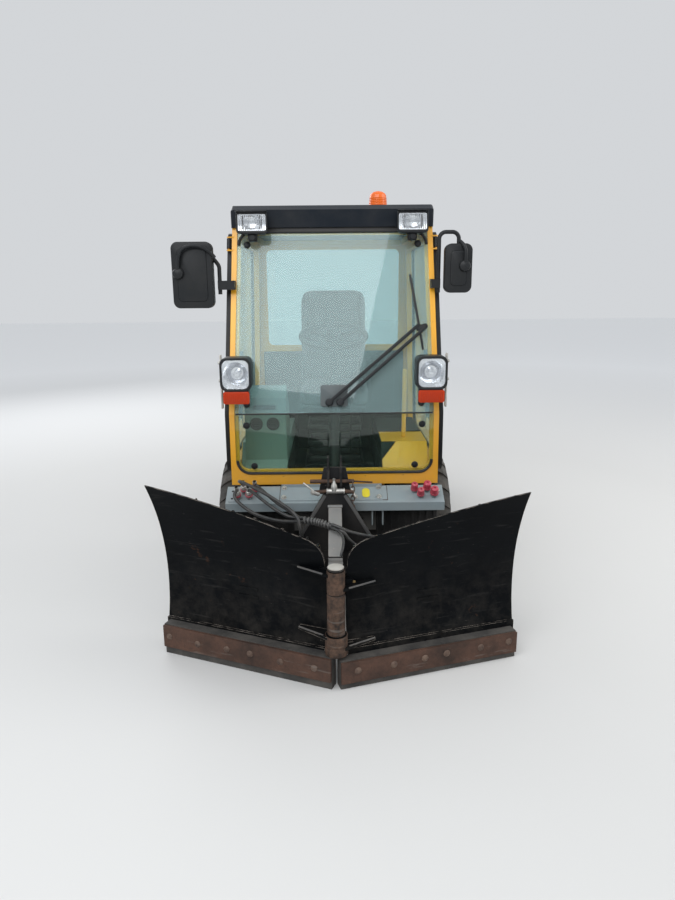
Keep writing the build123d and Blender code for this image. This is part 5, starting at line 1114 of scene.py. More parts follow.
def beacon():
    low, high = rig.box("beacon")
    middle = ((low.x + high.x) / 2, (low.y + high.y) / 2, low.z)
    dome = turned(beacon_dome(high.z - low.z), middle, UP, 40)
    piece("beacon_foot", [turned(BEACON_FOOT, middle, UP, 40)], black_trim, "black_plastic")
    piece("beacon_dome", [dome], orange_lens, "orange_lens", stands_for=("beacon",))


beacon()

# Wiper: its plate, twin arms and a sprung blade
PIVOT_Z, PIVOTS_X = 1.088, (-0.022, 0.028)
PIVOT_CAP = [(0.018, 0), (0.018, 0.02), (0.014, 0.034), (0, 0.036)]
WIPER_TIP = (0.405, 1.424)
BLADE_LOW, BLADE_HIGH = Vector((0.410, 1.320)), Vector((0.353, 1.657))
BLADE_BOWS = ((0.05, 0.45, 0.011), (0.55, 0.95, 0.011), (0.22, 0.78, 0.016))
PLATE_OUT, ARM_OUT, BLADE_OUT = (cab_slope(z)[1] for z in (1.1, 1.2, 1.5))


def wiper_plate():
    form = plate(rounded(0.124, 0.100, 0.012), 0.007, 0.002)
    forms = [put(form, on_pane(0, 1.119, 0.001), PLATE_OUT, cab_slope(1.1)[0])]
    piece("wiper_plate", forms, plate_grey, "black_plastic")


def wiper_arms():
    """Two arms from their pivots to one tip, and the yoke that holds the blade there."""
    tip = on_pane(*WIPER_TIP, 0.024)
    forms = []
    for x in PIVOTS_X:
        end = tip + Vector((x * 0.55, 0, -x * 0.3))
        forms.append(turned(PIVOT_CAP, on_pane(x, PIVOT_Z, 0), PLATE_OUT, 20))
        forms.append(flat_bar(on_pane(x, PIVOT_Z, 0.028), end, 0.0155, 0.006, ARM_OUT))
    yoke = on_pane(0.376, 1.409, 0.022), on_pane(0.430, 1.424, 0.022)
    forms.append(flat_bar(*yoke, 0.026, 0.008, BLADE_OUT))
    piece("wiper_arms", forms, black_trim, "black_plastic", stands_for=("wiper",))


def wiper_blade():
    """The rubber, and the three bows that press it to the pane."""
    forms = [flat_bar(on_pane(*BLADE_LOW, 0.002), on_pane(*BLADE_HIGH, 0.002), 0.009, 0.008, BLADE_OUT)]
    for low_share, high_share, off in BLADE_BOWS:
        start, end = (on_pane(*BLADE_LOW.lerp(BLADE_HIGH, share), off) for share in (low_share, high_share))
        forms.append(flat_bar(start, end, 0.010, 0.004, BLADE_OUT))
    piece("wiper_blade", forms, seal_rubber, "black_plastic")


wiper_plate()
wiper_arms()
wiper_blade()

# Hoses: control points from the couplers to the sleeve, over the boom, and on to the right ram
HOSE_R, LOOP_R = 0.0075, 0.0055
HOSE_ROUTES = [
    [(-0.425, -1.1234, 0.7006), (-0.425, -1.137, 0.721), (-0.446, -1.162, 0.744), (-0.398, -1.206, 0.738),
     (-0.311, -1.262, 0.711), (-0.220, -1.324, 0.674), (-0.164, -1.374, 0.644), (-0.150, -1.392, 0.592),
     (-0.146, -1.384, 0.548), (-0.134, -1.332, 0.508), (-0.128, -1.290, 0.494), (-0.128, -1.249, 0.494)],
    [(-0.398, -1.1554, 0.6836), (-0.398, -1.169, 0.704), (-0.372, -1.214, 0.704), (-0.284, -1.288, 0.656),
     (-0.205, -1.336, 0.624), (-0.1485, -1.351, 0.6255), (-0.1349, -1.3594, 0.6268)],
    [(-0.452, -1.1554, 0.6836), (-0.452, -1.169, 0.704), (-0.466, -1.200, 0.672), (-0.372, -1.262, 0.616),
     (-0.250, -1.318, 0.598), (-0.1516, -1.3581, 0.6123), (-0.138, -1.3665, 0.6136)],
    [(-0.371, -1.1234, 0.7006), (-0.371, -1.137, 0.721), (-0.334, -1.182, 0.704), (-0.262, -1.248, 0.660),
     (-0.190, -1.302, 0.634), (-0.1436, -1.3451, 0.6123), (-0.130, -1.3535, 0.6136)],
]
HOSE_SPLITS = (0.5, 0.5, 0.5, 0.68)
WRAP_ROUTE = [
    (-0.134, -1.360, 0.618), (-0.092, -1.386, 0.622), (-0.054, -1.404, 0.618), (-0.015, -1.424, 0.611),
]
ONWARD_ROUTES = [
    [(-0.0136, -1.4247, 0.6189), (-0.0013, -1.431, 0.6166), (0.018, -1.440, 0.612), (0.062, -1.444, 0.592),
     (0.120, -1.440, 0.576), (0.196, -1.436, 0.562)],
    [(-0.0158, -1.4236, 0.603), (-0.0035, -1.4299, 0.6008), (0.034, -1.452, 0.600), (0.058, -1.454, 0.560),
     (0.094, -1.446, 0.528), (0.146, -1.442, 0.508)],
]
RAM_ROUTES = [
    [(0.196, -1.436, 0.562), (0.236, -1.434, 0.5546), (0.262, -1.394, 0.500), (0.2417, -1.3886, 0.430),
     (0.2417, -1.3886, 0.356)],
    [(0.146, -1.442, 0.508), (0.183, -1.4392, 0.4938), (0.2031, -1.3813, 0.4498), (0.1448, -1.348, 0.3982),
     (0.1448, -1.348, 0.356)],
]
LOOP_ROUTE = [
    (-0.019, -1.4327, 0.611), (-0.008, -1.449, 0.611), (0.012, -1.462, 0.606), (0.028, -1.486, 0.597),
    (0.034, -1.516, 0.585), (0.032, -1.550, 0.571), (0.026, -1.576, 0.558), (0.022, -1.582, 0.541),
]
HOSE_COLLAR = [(0.0078, 0), (0.0095, 0.002), (0.0095, 0.022), (0.0078, 0.024)]
RAM_PORT = [(0.0135, -0.006), (0.0135, 0.006), (0.0105, 0.008), (0.0105, 0.026), (0.0078, 0.028)]
SLEEVE_TUBE_R = 0.0125
WRAP_TURNS, WRAP_STEPS, WRAP_R, WRAP_WIRE_R = 9, 16, 0.0135, 0.0042


def hose(name, line, radius, body, stands_for=()):
    """A stiff hose along its line. Without a body it is blended between two by its caller."""
    made = piece(name, [tube(line, radius)], hose_rubber, "rubber", body, stands_for)
    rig.cord(made, line[0], length_of(line), 2 * radius, "object", "stiff", "loose", path=line)
    return made


def coupler_hose(number, route, split):
    """A hose from the beam to the boom in two parts, so that it follows the lift."""
    line = smooth_line(route)
    at = int(len(line) * split)
    parts = (
        ("front", line[: at + 1], "front_module", "lift_arms"),
        ("rear", line[at:], "lift_arms", "hitch"),
    )
    for where, stretch, from_body, to_body in parts:
        made = hose(f"hose_{number}_{where}", stretch, HOSE_R, None, ("coupler_hoses",))
        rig.blend(made, from_body, to_body, stretch[0], stretch[-1])


def spiral_wrap(line):
    """The spiral round the sleeve that gathers the hoses."""
    across = list(ways(line))
    coil = []
    for i in range(WRAP_TURNS * WRAP_STEPS + 1):
        share = i / (WRAP_TURNS * WRAP_STEPS) * (len(line) - 1)
        low = min(int(share), len(line) - 2)
        _, side, other = across[low]
        angle = math.tau * i / WRAP_STEPS
        off = (side * math.cos(angle) + other * math.sin(angle)) * WRAP_R
        coil.append(line[low].lerp(line[low + 1], share - low) + off)
    piece("spiral_wrap", [tube(coil, WRAP_WIRE_R, 8)], wrap_black, "rubber", "hitch")


def boom_hose(number, route):
    """A hose on over the boom, with the collar where the hose to the ram joins it."""
    line = smooth_line(route)
    hose(f"boom_hose_{number}", line, HOSE_R, "hitch", ("boom_hoses",))
    collar = turned(HOSE_COLLAR, line[-1], line[-2] - line[-1], 20)
    piece(f"boom_hose_collar_{number}", [collar], zinc, "black_paint", "hitch")


def ram_hose(number, route):
    """A hose from the boom down to its port on the right ram."""
    line = smooth_line(route)
    made = hose(f"ram_hose_{number}", line, HOSE_R, None)
    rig.blend(made, "hitch", "wing_barrel_right", line[0], line[-1])
    port = turned(RAM_PORT, Vector(route[-1]), UP, 20)
    piece(f"ram_port_{number}", [port], zinc, "black_paint", "wing_barrel_right")


for number, (route, split) in enumerate(zip(HOSE_ROUTES, HOSE_SPLITS), 1):
    coupler_hose(number, route, split)
sleeve_line = smooth_line(WRAP_ROUTE, 16)
sleeve = tube(sleeve_line, SLEEVE_TUBE_R, 20)
piece("hose_sleeve", [sleeve], hose_rubber, "rubber", "hitch", stands_for=("boom_hoses",))
spiral_wrap(sleeve_line)
for number, route in enumerate(ONWARD_ROUTES, 1):
    boom_hose(number, route)
for number, route in enumerate(RAM_ROUTES, 1):
    ram_hose(number, route)
hose("loop_hose", smooth_line(LOOP_ROUTE), LOOP_R, "hitch")

# Couplers on the beam: collars and ferrules of the hoses, red rings, and red caps on the free ones
COUPLER_AXIS = Vector((0, -0.55, 0.835)).normalized()
COLLAR = [(0.008, 0.013), (0.0125, 0.010), (0.0125, 0.002), (0.0145, 0), (0.0145, -0.016), (0.0135, -0.018)]
FERRULE = [(0.0076, 0.040), (0.0098, 0.037), (0.0098, 0.013), (0.0076, 0.011)]
RING = [(0.0146, -0.020), (0.0175, -0.019), (0.0175, -0.012), (0.0146, -0.011)]
CAPPED = [
    (0.372, -1.119, 0.692, 0.0155), (0.398, -1.151, 0.675, 0.0155),
    (0.432, -1.116, 0.696, 0.0178), (0.462, -1.148, 0.679, 0.0178),
]
COUPLERS = [Vector(route[0]) for route in HOSE_ROUTES]


def coupler_cap(x, y, z, radius):
    profile = [
        (radius, -0.016), (radius + 0.002, -0.014), (radius + 0.002, -0.006), (radius, -0.004),
        (radius, 0.018), (radius - 0.002, 0.022), (radius - 0.006, 0.024),
        (0.005, 0.026), (0.004, 0.034), (0, 0.035),
    ]
    return turned(profile, (x, y, z), COUPLER_AXIS, 24)


def couplers():
    collars = []
    for at in COUPLERS:
        collars += [turned(COLLAR, at, COUPLER_AXIS, 24), turned(FERRULE, at, COUPLER_AXIS, 20)]
    piece("coupler_collars", collars, zinc, "ram_chrome")
    piece("coupler_rings", [turned(RING, at, COUPLER_AXIS, 24) for at in COUPLERS], cap_red, "black_plastic")
    piece("coupler_caps", [coupler_cap(*cap) for cap in CAPPED], cap_red, "black_plastic")


couplers()

# Beam: cover plates with rusty seams, the end plate with dark discs in its holes as painted shade, bolts and the oval
# tag
BEAM_RISE = 0.53
BEAM_OUT, BEAM_UP = Vector((0, -BEAM_RISE, 1)).normalized(), Vector((0, 1, BEAM_RISE)).normalized()
BEAM_FRONT_Y, BEAM_FRONT_Z = -1.168, 0.633
COVER_Y, COVER_Z, COVER_DEEP = -1.112, 0.6627, 0.092
COVERS = ((-0.1795, 0.153), (0.1685, 0.150))
SEAM = 0.005
END_PLATE = Vector((-0.479, -1.1175, 0.6598))
END_HOLES = (-0.026, 0.022)
BEAM_BOLTS = (
    (-0.238, -1.140), (0.094, -1.140), (0.205, -1.140), (-0.238, -1.085), (0.205, -1.085), (0.480, -1.105)
)
BOLT_SEAT = 0.0048
TAG_AT = (0.145, -1.1175, 0.6648)


def on_beam_plate(at, wide, deep, radius, thick, edge=0.0):
    """A plate that lies on the beam's sloping top."""
    return put(plate(rounded(wide, deep, radius), thick, edge), at, BEAM_OUT, BEAM_UP)


def beam_covers():
    seams, covers = [], []
    for x, wide in COVERS:
        at = (x, COVER_Y, COVER_Z)
        seams.append(on_beam_plate(at, wide + SEAM, COVER_DEEP + SEAM, 0.004, 0.0012))
        covers.append(on_beam_plate(at, wide, COVER_DEEP, 0.003, 0.0030, 0.0008))
    covers.append(on_beam_plate(END_PLATE, 0.032, COVER_DEEP, 0.004, 0.0035, 0.001))
    piece("beam_seams", seams, tube_rust, "rusty_steel")
    piece("beam_covers", covers, beam_grey, "grey_paint")


def beam_end_hole_shades():
    # Black discs in the end plate's holes: painted shade for their dark insides
    places = [END_PLATE + BEAM_UP * along for along in END_HOLES]
    forms = [rod(at, at + BEAM_OUT * 0.0042, 0.0055, 0.0006) for at in places]
    piece("beam_end_hole_shades", forms, black_trim, "black_plastic")


def beam_bolts():
    heads = []
    for x, y in BEAM_BOLTS:
        z = BEAM_FRONT_Z + BEAM_RISE * (y - BEAM_FRONT_Y)
        heads.append(bolt((x, y, z + BOLT_SEAT), BEAM_OUT, 0.019, 0.008))
    piece("beam_bolts", heads, zinc, "grey_paint")


beam_covers()
beam_end_hole_shades()
beam_bolts()
piece("oval_tag", [on_beam_plate(TAG_AT, 0.036, 0.060, 0.0175, 0.0012, 0.0004)], tag_yellow, "yellow_paint")

# Hitch tower: rusty cross pin, bright bottle pin on its bar, thin latch rods and a short chain
PIN_Y, PIN_Z = -1.212, 0.750
BAR_Y, BAR_Z = -1.252, 0.716
WIRE = ((0.086, -1.214, 0.750), (0.170, -1.214, 0.744))
BAR_STUBS = (
    ((0.040, BAR_Y, BAR_Z), (0.086, BAR_Y, BAR_Z - 0.006)),
    ((-0.092, BAR_Y, BAR_Z - 0.004), (-0.034, BAR_Y, BAR_Z)),
)
STUB_RADII = (0.0042, 0.0080)
BOTTLE = [
    (0.014, 0), (0.0145, 0.018), (0.013, 0.028), (0.0065, 0.040), (0.005, 0.050), (0.0065, 0.053),
    (0.0065, 0.058), (0, 0.060),
]
LINKS, LINK_STEPS, LINK_PITCH, LINK_WIRE_R = 6, 16, 0.0215, 0.0024
LINK_HALF_WIDE, LINK_HALF_TALL = 0.0085, 0.014
CHAIN_TOP = Vector((0.081, -1.226, 0.738))


def tower_cross_pin():
    """The rusty pin through the tower, its wire, and the stubs beside the bright bar."""
    forms = [rod((-0.112, PIN_Y, PIN_Z), (0.087, PIN_Y, PIN_Z), 0.0093, 0.002)]
    forms.append(rod(*WIRE, STUB_RADII[0], 0.001, 12))
    forms += [rod(*stub, STUB_RADII[1], 0.001, 12) for stub in BAR_STUBS]
    piece("tower_cross_pin", forms, tube_rust, "rusty_steel", "hitch")


def tower_bottle_pin():
    forms = [turned(BOTTLE, (-0.004, BAR_Y, BAR_Z), UP, 24)]
    forms.append(rod((-0.036, BAR_Y, BAR_Z), (0.042, BAR_Y, BAR_Z), 0.0115, 0.003))
    for x in (-0.034, 0.040):
        forms.append(rod((x - 0.004, BAR_Y, BAR_Z), (x + 0.004, BAR_Y, BAR_Z), 0.0140, 0.002))
    piece("tower_bottle_pin", forms, zinc, "ram_chrome", "hitch")


def tower_latch():
    """The latch's rod and plate with its bolt on the left, and the short rod on the right."""
    latch_plate = plate(rounded(0.018, 0.044, 0.008), 0.006, 0.0015)
    forms = [
        rod((-0.142, -1.236, 0.750), (-0.094, -1.252, 0.716), 0.0045, 0.001, 12),
        put(latch_plate, (-0.088, -1.254, 0.708), FRONT, (0.9, 0, -0.25)),
        bolt((-0.098, -1.259, 0.710), FRONT, 0.014, 0.005),
        rod((0.072, -1.245, 0.726), (0.090, -1.252, 0.690), 0.0045, 0.001, 12),
    ]
    piece("tower_latch", forms, zinc, "black_paint", "hitch")


def tower_chain():
    """Oval links, each turned a quarter from the one above it."""
    links = []
    for i in range(LINKS):
        wide = (ACROSS if i % 2 else -FRONT) * LINK_HALF_WIDE
        at = CHAIN_TOP - UP * LINK_PITCH * i
        angles = [math.tau * step / LINK_STEPS for step in range(LINK_STEPS + 1)]
        path = [at + wide * math.cos(angle) + UP * LINK_HALF_TALL * math.sin(angle) for angle in angles]
        links.append(tube(path, LINK_WIRE_R, 8))
    piece("tower_chain", links, bolt_steel, "black_paint", "hitch")


tower_cross_pin()
tower_bottle_pin()
tower_latch()
tower_chain()

# Mirrors: glass to the driver, a shell to the front, a tube with its knob before it
MIRROR_Y = cab_y(1.615) - 0.056
MIRROR_DEEP = 0.018
MIRROR_HEADS = [(-0.626, 1.659, 0.182, 0.288), (0.561, 1.680, 0.122, 0.213)]
MIRROR_ARMS = [
    [(-0.688, -0.032, 1.667), (-0.686, -0.040, 1.720), (-0.668, -0.042, 1.772), (-0.612, -0.042, 1.790),
     (-0.552, -0.034, 1.772), (-0.524, -0.016, 1.735)],
    [(0.587, -0.032, 1.690), (0.590, -0.040, 1.732), (0.586, -0.036, 1.776), (0.566, -0.010, 1.796)],
]
MIRROR_KNOB = [(0.023, -0.006), (0.026, 0.002), (0.026, 0.012), (0.022, 0.019), (0.012, 0.024), (0, 0.025)]


def mirror_shell(x, z, wide, tall):
    """The shell's face with the raised field on it, and the rim round the glass."""
    front, back = (x, MIRROR_Y - MIRROR_DEEP, z), (x, MIRROR_Y + MIRROR_DEEP, z)
    face = plate(rounded(wide - 0.004, tall - 0.004, 0.028), 0.004, 0.0015)
    field = plate(rounded(wide - 0.050, tall - 0.060, 0.020), 0.008, 0.005)
    rim = frame_ring(rounded(wide, tall, 0.030), rounded(wide - 0.024, tall - 0.024, 0.020), 0.006, 0.002)
    return [put(face, front, FRONT), put(field, front, FRONT), put(rim, back, -FRONT)]


def mirror_pane(x, z, wide, tall):
    form = plate(rounded(wide - 0.024, tall - 0.024, 0.020), 0.002)
    return put(form, (x, MIRROR_Y + MIRROR_DEEP, z), -FRONT)


def mirror_arm(route):
    """A tube before the shell, its points as (x, off the mirrors' plane, z), and the knob on its end."""
    line = smooth_line([(x, MIRROR_Y + off, z) for x, off, z in route])
    return [tube(line, 0.0085, 12), turned(MIRROR_KNOB, line[0] + Vector((0, 0.012, 0)), FRONT, 24)]


def mirrors():
    shells = []
    for head in MIRROR_HEADS:
        shells += mirror_shell(*head)
    for route in MIRROR_ARMS:
        shells += mirror_arm(route)
    piece("mirror_shells", shells, black_trim, "black_plastic")
    piece("mirror_glasses", [mirror_pane(*head) for head in MIRROR_HEADS], mirror_glass, "ram_chrome")


mirrors()

# Tyres with their lugs, and the nuts and cap on each rim
TYRE_R, TRACK, AXLE_Y = 0.360, 0.460, {"front": -0.580, "rear": 0.920}
CARCASS_R = TYRE_R - 0.015
TYRE_HALF_PROFILE = [
    (0.196, 0.104), (0.214, 0.116), (0.250, 0.129), (0.290, 0.133), (0.318, 0.130), (0.334, 0.118),
    (0.342, 0.098), (CARCASS_R, 0.05),
]
LUGS = 24
LUG_SECTIONS = [
    (-0.014, -0.010, TYRE_R), (0.060, 0.022, TYRE_R), (0.104, 0.046, 0.354), (0.126, 0.058, 0.334),
    (0.1345, 0.062, 0.300),
]
LUG_CORNERS = ((-0.018, 0), (0.018, 0), (0.020, 0.022), (-0.020, 0.022))
SHOULDER_R = 0.31
HUB_FACE, NUTS, NUT_CIRCLE = 0.040, 6, 0.042
HUB_CAP = [(0.026, 0), (0.026, 0.018), (0.021, 0.024), (0, 0.026)]


def lug(bm, start, half):
    """One slanted lug on a half of the tread, through its sections (across, shift round, radius)."""
    rows = []
    for x, shift, radius in LUG_SECTIONS:
        row = []
        for wide, drop in LUG_CORNERS:
            angle = start - (shift + wide) / TYRE_R
            across = x if radius > SHOULDER_R else x - drop * 0.3
            r = radius - drop
            row.append(bm.verts.new((half * across, r * math.sin(angle), r * math.cos(angle))))
        rows.append(row)
    for row, after in zip(rows, rows[1:]):
        for a in range(4):
            b = (a + 1) % 4
            bm.faces.new((row[a], row[b], after[b], after[a]))
    bm.faces.new(reversed(rows[0]))
    bm.faces.new(rows[-1])


def tyre_form():
    """A tyre about its own axis, X, with slanted lugs on both halves of the tread, half a pitch apart."""
    near = [(radius, -across) for radius, across in TYRE_HALF_PROFILE]
    bm = turned(near + TYRE_HALF_PROFILE[::-1], (0, 0, 0), ACROSS, 64)
    for i in range(LUGS):
        lug(bm, math.tau * i / LUGS, -1)
        lug(bm, math.tau * (i + 0.5) / LUGS, 1)
    bmesh.ops.recalc_face_normals(bm, faces=bm.faces)
    return bm


def wheel(corner):
    end, hand = corner.split("_")
    side, y = SIDES[hand], AXLE_Y[end]
    tread = tyre_form()
    bmesh.ops.translate(tread, vec=(side * TRACK, y, TYRE_R), verts=tread.verts)
    piece("tread_" + corner, [tread], tyre_rubber, "tyre", "wheel_" + corner, ("tyre_" + corner,))
    hub = Vector((side * (TRACK + HUB_FACE), y, TYRE_R))
    out = Vector((side, 0, 0))
    nuts = []
    for i in range(NUTS):
        angle = math.tau * i / NUTS
        off = Vector((0, math.cos(angle), math.sin(angle))) * NUT_CIRCLE
        nuts.append(bolt(hub + off, out, 0.022, 0.014))
    nuts.append(turned(HUB_CAP, hub, out, 32))
    piece("wheel_nuts_" + corner, nuts, zinc, "rim_paint", "wheel_" + corner)


for corner in CORNERS:
    wheel(corner)

# Seat cushions: blown up as cloth, then given bolsters and sewn channels
VOXEL, PUFF, PUFF_CAP, PUFF_FRAMES = 0.006, 4.0, 0.010, 20
PAD_CUTS, PAD_SQUARE, PAD_PINCH, PAD_EDGE = 39, 7, 0.35, 9
BOLSTER_AT, BOLSTER_RAMP, BOLSTER_RISE = 0.74, 0.12, 0.34
CROWN_RISE, BOLSTER_SEAM, CHANNEL_DEEP, SEAM_WIDE = 0.10, 0.16, 0.12, 0.035
FILL = 0.85
SEAT_WIDE, SEAT_THICK = 0.398, 0.092
CUSHION_OUT, CUSHION_UP = (0, -0.04, 1), (0, 1, 0.04)
BACK_OUT, BACK_UP = (0, -0.985, 0.155), (0, 0.155, 0.985)


def evaluated(holder):
    """The object with its modifiers applied."""
    return holder.evaluated_get(bpy.context.evaluated_depsgraph_get())


def blow_up(holder):
    """Lets the object's mesh swell as cloth under pressure, each point by no more than the cap."""
    before = [vert.co.copy() for vert in holder.data.vertices]
    cloth = holder.modifiers.new("cloth", "CLOTH")
    cloth.settings.use_pressure = True
    cloth.settings.uniform_pressure_force = PUFF
    cloth.settings.effector_weights.gravity = 0
    cloth.point_cache.frame_end = PUFF_FRAMES
    for frame in range(1, PUFF_FRAMES + 1):
        scene.frame_set(frame)
    after = [vert.co.copy() for vert in evaluated(holder).data.vertices]
    holder.modifiers.remove(cloth)
    scene.frame_set(1)
    for vert, old, new in zip(holder.data.vertices, before, after):
        way = new - old
        vert.co = old + way * min(1, PUFF_CAP / max(way.length, PUFF_CAP / 10))


def puffed(bm):
    """Remeshes a closed form finely, blows it up and smooths it."""
    mesh = bpy.data.meshes.new("pad")
    bm.to_mesh(mesh)
    holder = bpy.data.objects.new("pad", mesh)
    scene.collection.objects.link(holder)
    remesh = holder.modifiers.new("remesh", "REMESH")
    remesh.mode, remesh.voxel_size = "VOXEL", VOXEL
    holder.data = bpy.data.meshes.new_from_object(evaluated(holder))
    holder.modifiers.remove(remesh)
    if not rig.quick():
        blow_up(holder)
    smooth = holder.modifiers.new("smooth", "SUBSURF")
    smooth.levels = 1
    fine = bpy.data.meshes.new_from_object(evaluated(holder))
    bm.clear()
    bm.from_mesh(fine)
    bpy.data.objects.remove(holder)
    return bm


def dip(distance):
    """How deep a seam's groove is at a distance from it, from 1 to 0."""
    return math.exp(-((distance / SEAM_WIDE) ** 2))


def pad_blank(wide, long, thick):
    """A soft-cornered block that is thinner at its rim."""
    bm = bmesh.new()
    bmesh.ops.create_cube(bm, size=2)
    bmesh.ops.subdivide_edges(bm, edges=bm.edges[:], cuts=PAD_CUTS, use_grid_fill=True)
    half = Vector((wide / 2 - 0.003, long / 2 - 0.003, thick / 2 - PUFF_CAP))
    for vert in bm.verts:
        x, y, z = vert.co
        reach = (abs(x) ** PAD_SQUARE + abs(y) ** PAD_SQUARE) ** (1 / PAD_SQUARE)
        if reach > 1:
            x, y = x / reach, y / reach
        edge = max(abs(x), abs(y))
        vert.co = (x * half.x, y * half.y, z * half.z * (1 - PAD_PINCH * edge ** PAD_EDGE))
    return bm


def pad(wide, long, thick, seams):
    """A cushion about its own middle: the blown-up blank, its bolsters, crown and sewn channels."""
    bm = puffed(pad_blank(wide, long, thick))
    for vert in bm.verts:
        x, y = vert.co.x / (wide / 2), vert.co.y / (long / 2)
        edge = min(1, max(abs(x), abs(y)))
        if vert.co.z > 0:
            past = abs(x) - BOLSTER_AT
            level = BOLSTER_RISE * max(0, min(1, past / BOLSTER_RAMP)) * (1 - edge ** PAD_EDGE)
            level += CROWN_RISE * (1 - x * x) * (1 - y * y)
            level -= BOLSTER_SEAM * dip(past)
            if past < 0:
                level -= sum(CHANNEL_DEEP * dip(y - seam) for seam in seams)
            vert.co.z += level * thick / 2 * min(1, vert.co.z / (thick / 4))
    return bm


def seat_cushions():
    cushion = pad(SEAT_WIDE, 0.435, SEAT_THICK, (-0.45, 0.0, 0.45))
    put(cushion, (0, -0.361, 1.030), CUSHION_OUT, CUSHION_UP)
    back = pad(SEAT_WIDE, 0.545, SEAT_THICK, (-0.5, -0.17, 0.17, 0.5))
    put(back, (0, -0.110, 1.325), BACK_OUT, BACK_UP)
    for name, form in (("seat_cushion", cushion), ("seat_back", back)):
        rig.padded(piece(name, [form], seat_cloth, "seat_cover", stands_for=("seat",)), fill=FILL)


seat_cushions()

# Seat pedestal: the back's shell, the pan, the bellows, the base and the two struts
BELLOWS, BELLOWS_PITCH = 7, 0.044


def seat_pedestal():
    shell = plate(rounded(0.36, 0.50, 0.06), 0.012, 0.004)
    forms = [put(shell, (0, -0.062, 1.315), (0, 0.985, -0.155), BACK_UP)]
    forms.append(slab((-0.17, -0.56, 0.962), (0.17, -0.15, 0.984), 0.005))
    for i in range(BELLOWS):
        inset, z = 0.010 * (i % 2), 0.650 + BELLOWS_PITCH * i
        low, high = (-0.148 + inset, -0.498 + inset, z), (0.148 - inset, -0.162 - inset, z + 0.042)
        forms.append(slab(low, high, 0.010))
    forms.append(slab((-0.165, -0.52, 0.622), (0.165, -0.14, 0.650), 0.004))
    for side in SIDES.values():
        start, end = (side * 0.186, -0.165, 0.985), (side * 0.186, -0.085, 1.180)
        forms.append(flat_bar(start, end, 0.034, 0.006, (side, 0, 0)))
    piece("seat_pedestal", forms, black_trim, "black_plastic", stands_for=("seat",))


seat_pedestal()

# Cab fittings: console vents and slot, levers, pedals and the column's boot, and the grab bar
CONSOLE_OUT = Vector((0, -1, 0.03)).normalized()
VENT_RING = [(0.031, 0), (0.031, 0.005), (0.026, 0.007), (0.024, 0.003), (0, 0.003)]
VENTS_X, VENT_Z, BLADE_PITCH = (-0.375, -0.295), 0.965, 0.009
LEVERS = ((0.088, -0.70, 1.03), (-0.245, -0.62, 1.06), (-0.275, -0.60, 1.04))
LEVER_KNOB = [(0.007, -0.012), (0.014, -0.006), (0.017, 0.006), (0.015, 0.018), (0.009, 0.025), (0, 0.027)]
PEDALS = ((-0.115, 0.075), (0.085, 0.060), (0.165, 0.060))
PEDAL_OUT, PEDAL_UP = (0, 0.62, 0.78), (0, -0.78, 0.62)
BOOT_FOLDS = 5


def vent(x):
    """A round vent in the console's face, with five blades."""
    forms = [turned(VENT_RING, (x, -0.9438, VENT_Z), CONSOLE_OUT, 32)]
    for i in range(-2, 3):
        z = VENT_Z - 0.001 + BLADE_PITCH * i
        forms.append(slab((x - 0.020, -0.953, z), (x + 0.020, -0.9455, z + 0.003), 0.0008))
    return forms


def lever(x, y, top):
    """A lever that leans to the front, with its knob."""
    stick = rod((x, y + 0.05, 0.75), (x, y, top), 0.006, 0.001, 12)
    return [stick, turned(LEVER_KNOB, (x, y, top), (0, -0.12, 1), 20)]


def pedal(x, wide):
    pad_form = plate(rounded(wide, 0.085, 0.010), 0.009, 0.002)
    stem = rod((x, -0.93, 0.71), (x, -0.965, 0.632), 0.008, 0.001, 12)
    return [put(pad_form, (x, -0.925, 0.715), PEDAL_OUT, PEDAL_UP), stem]


def column_boot():
    """The folded boot round the foot of the steering column."""
    profile = [(0.062, 0)]
    for i in range(BOOT_FOLDS):
        profile += [(0.060 - 0.005 * i, 0.010 + 0.016 * i), (0.052 - 0.005 * i, 0.018 + 0.016 * i)]
    profile += [(0.030, 0.095), (0, 0.095)]
    return turned(profile, (0, -0.860, 0.622), (0, 0.28, 1), 32)


def cab_fittings():
    forms = vent(VENTS_X[0]) + vent(VENTS_X[1])
    forms.append(slab((-0.39, -0.952, 1.035), (-0.28, -0.940, 1.055), 0.003))
    for place in LEVERS:
        forms += lever(*place)
    for place in PEDALS:
        forms += pedal(*place)
    forms.append(column_boot())
    piece("cab_fittings", forms, black_trim, "black_plastic")
    bar = rod((0.352, -0.780, 0.858), (0.352, -0.800, 1.205), 0.011, 0.004)
    piece("grab_bar", [bar], yellow, "yellow_paint")


cab_fittings()

# Wheel arch covers: a mat over each arch with its cheek, the lock slot and the right one's front gusset
ALONG_Y_UP = Matrix(((0, 0, 1, 0), (1, 0, 0, 0), (0, 1, 0, 0), (0, 0, 0, 1)))
ARCH_BACK = [(-0.268, 0.864), (-0.168, 0.729), (-0.1685, 0.7285), (-0.2685, 0.8595)]
ARCH_CHEEK = [(-0.990, 0.734), (-0.892, 0.8635), (-0.268, 0.8635), (-0.170, 0.734)]
ARCH_UNDER_Z = 0.8595
LEFT_COVER_FRONT = [(-0.9915, 0.7285), (-0.992, 0.729), (-0.892, 0.864)]
RIGHT_COVER_FRONT = [(-0.660, ARCH_UNDER_Z), (-0.660, 0.864)]
ARCH_OUT, ARCH_UP = (0, -0.1345, 0.1), (0, 0.1, 0.1345)
GUSSET = [(0, 0), (0, -0.096), (0.072, 0)]


def along_x(outline, low_x, thick, edge=0.0):
    """An outline of points (y, z), thickened to the right from its place."""
    bm = plate(outline, thick, edge)
    bmesh.ops.transform(bm, matrix=Matrix.Translation((low_x, 0, 0)) @ ALONG_Y_UP, verts=bm.verts)
    bmesh.ops.recalc_face_normals(bm, faces=bm.faces)
    return bm


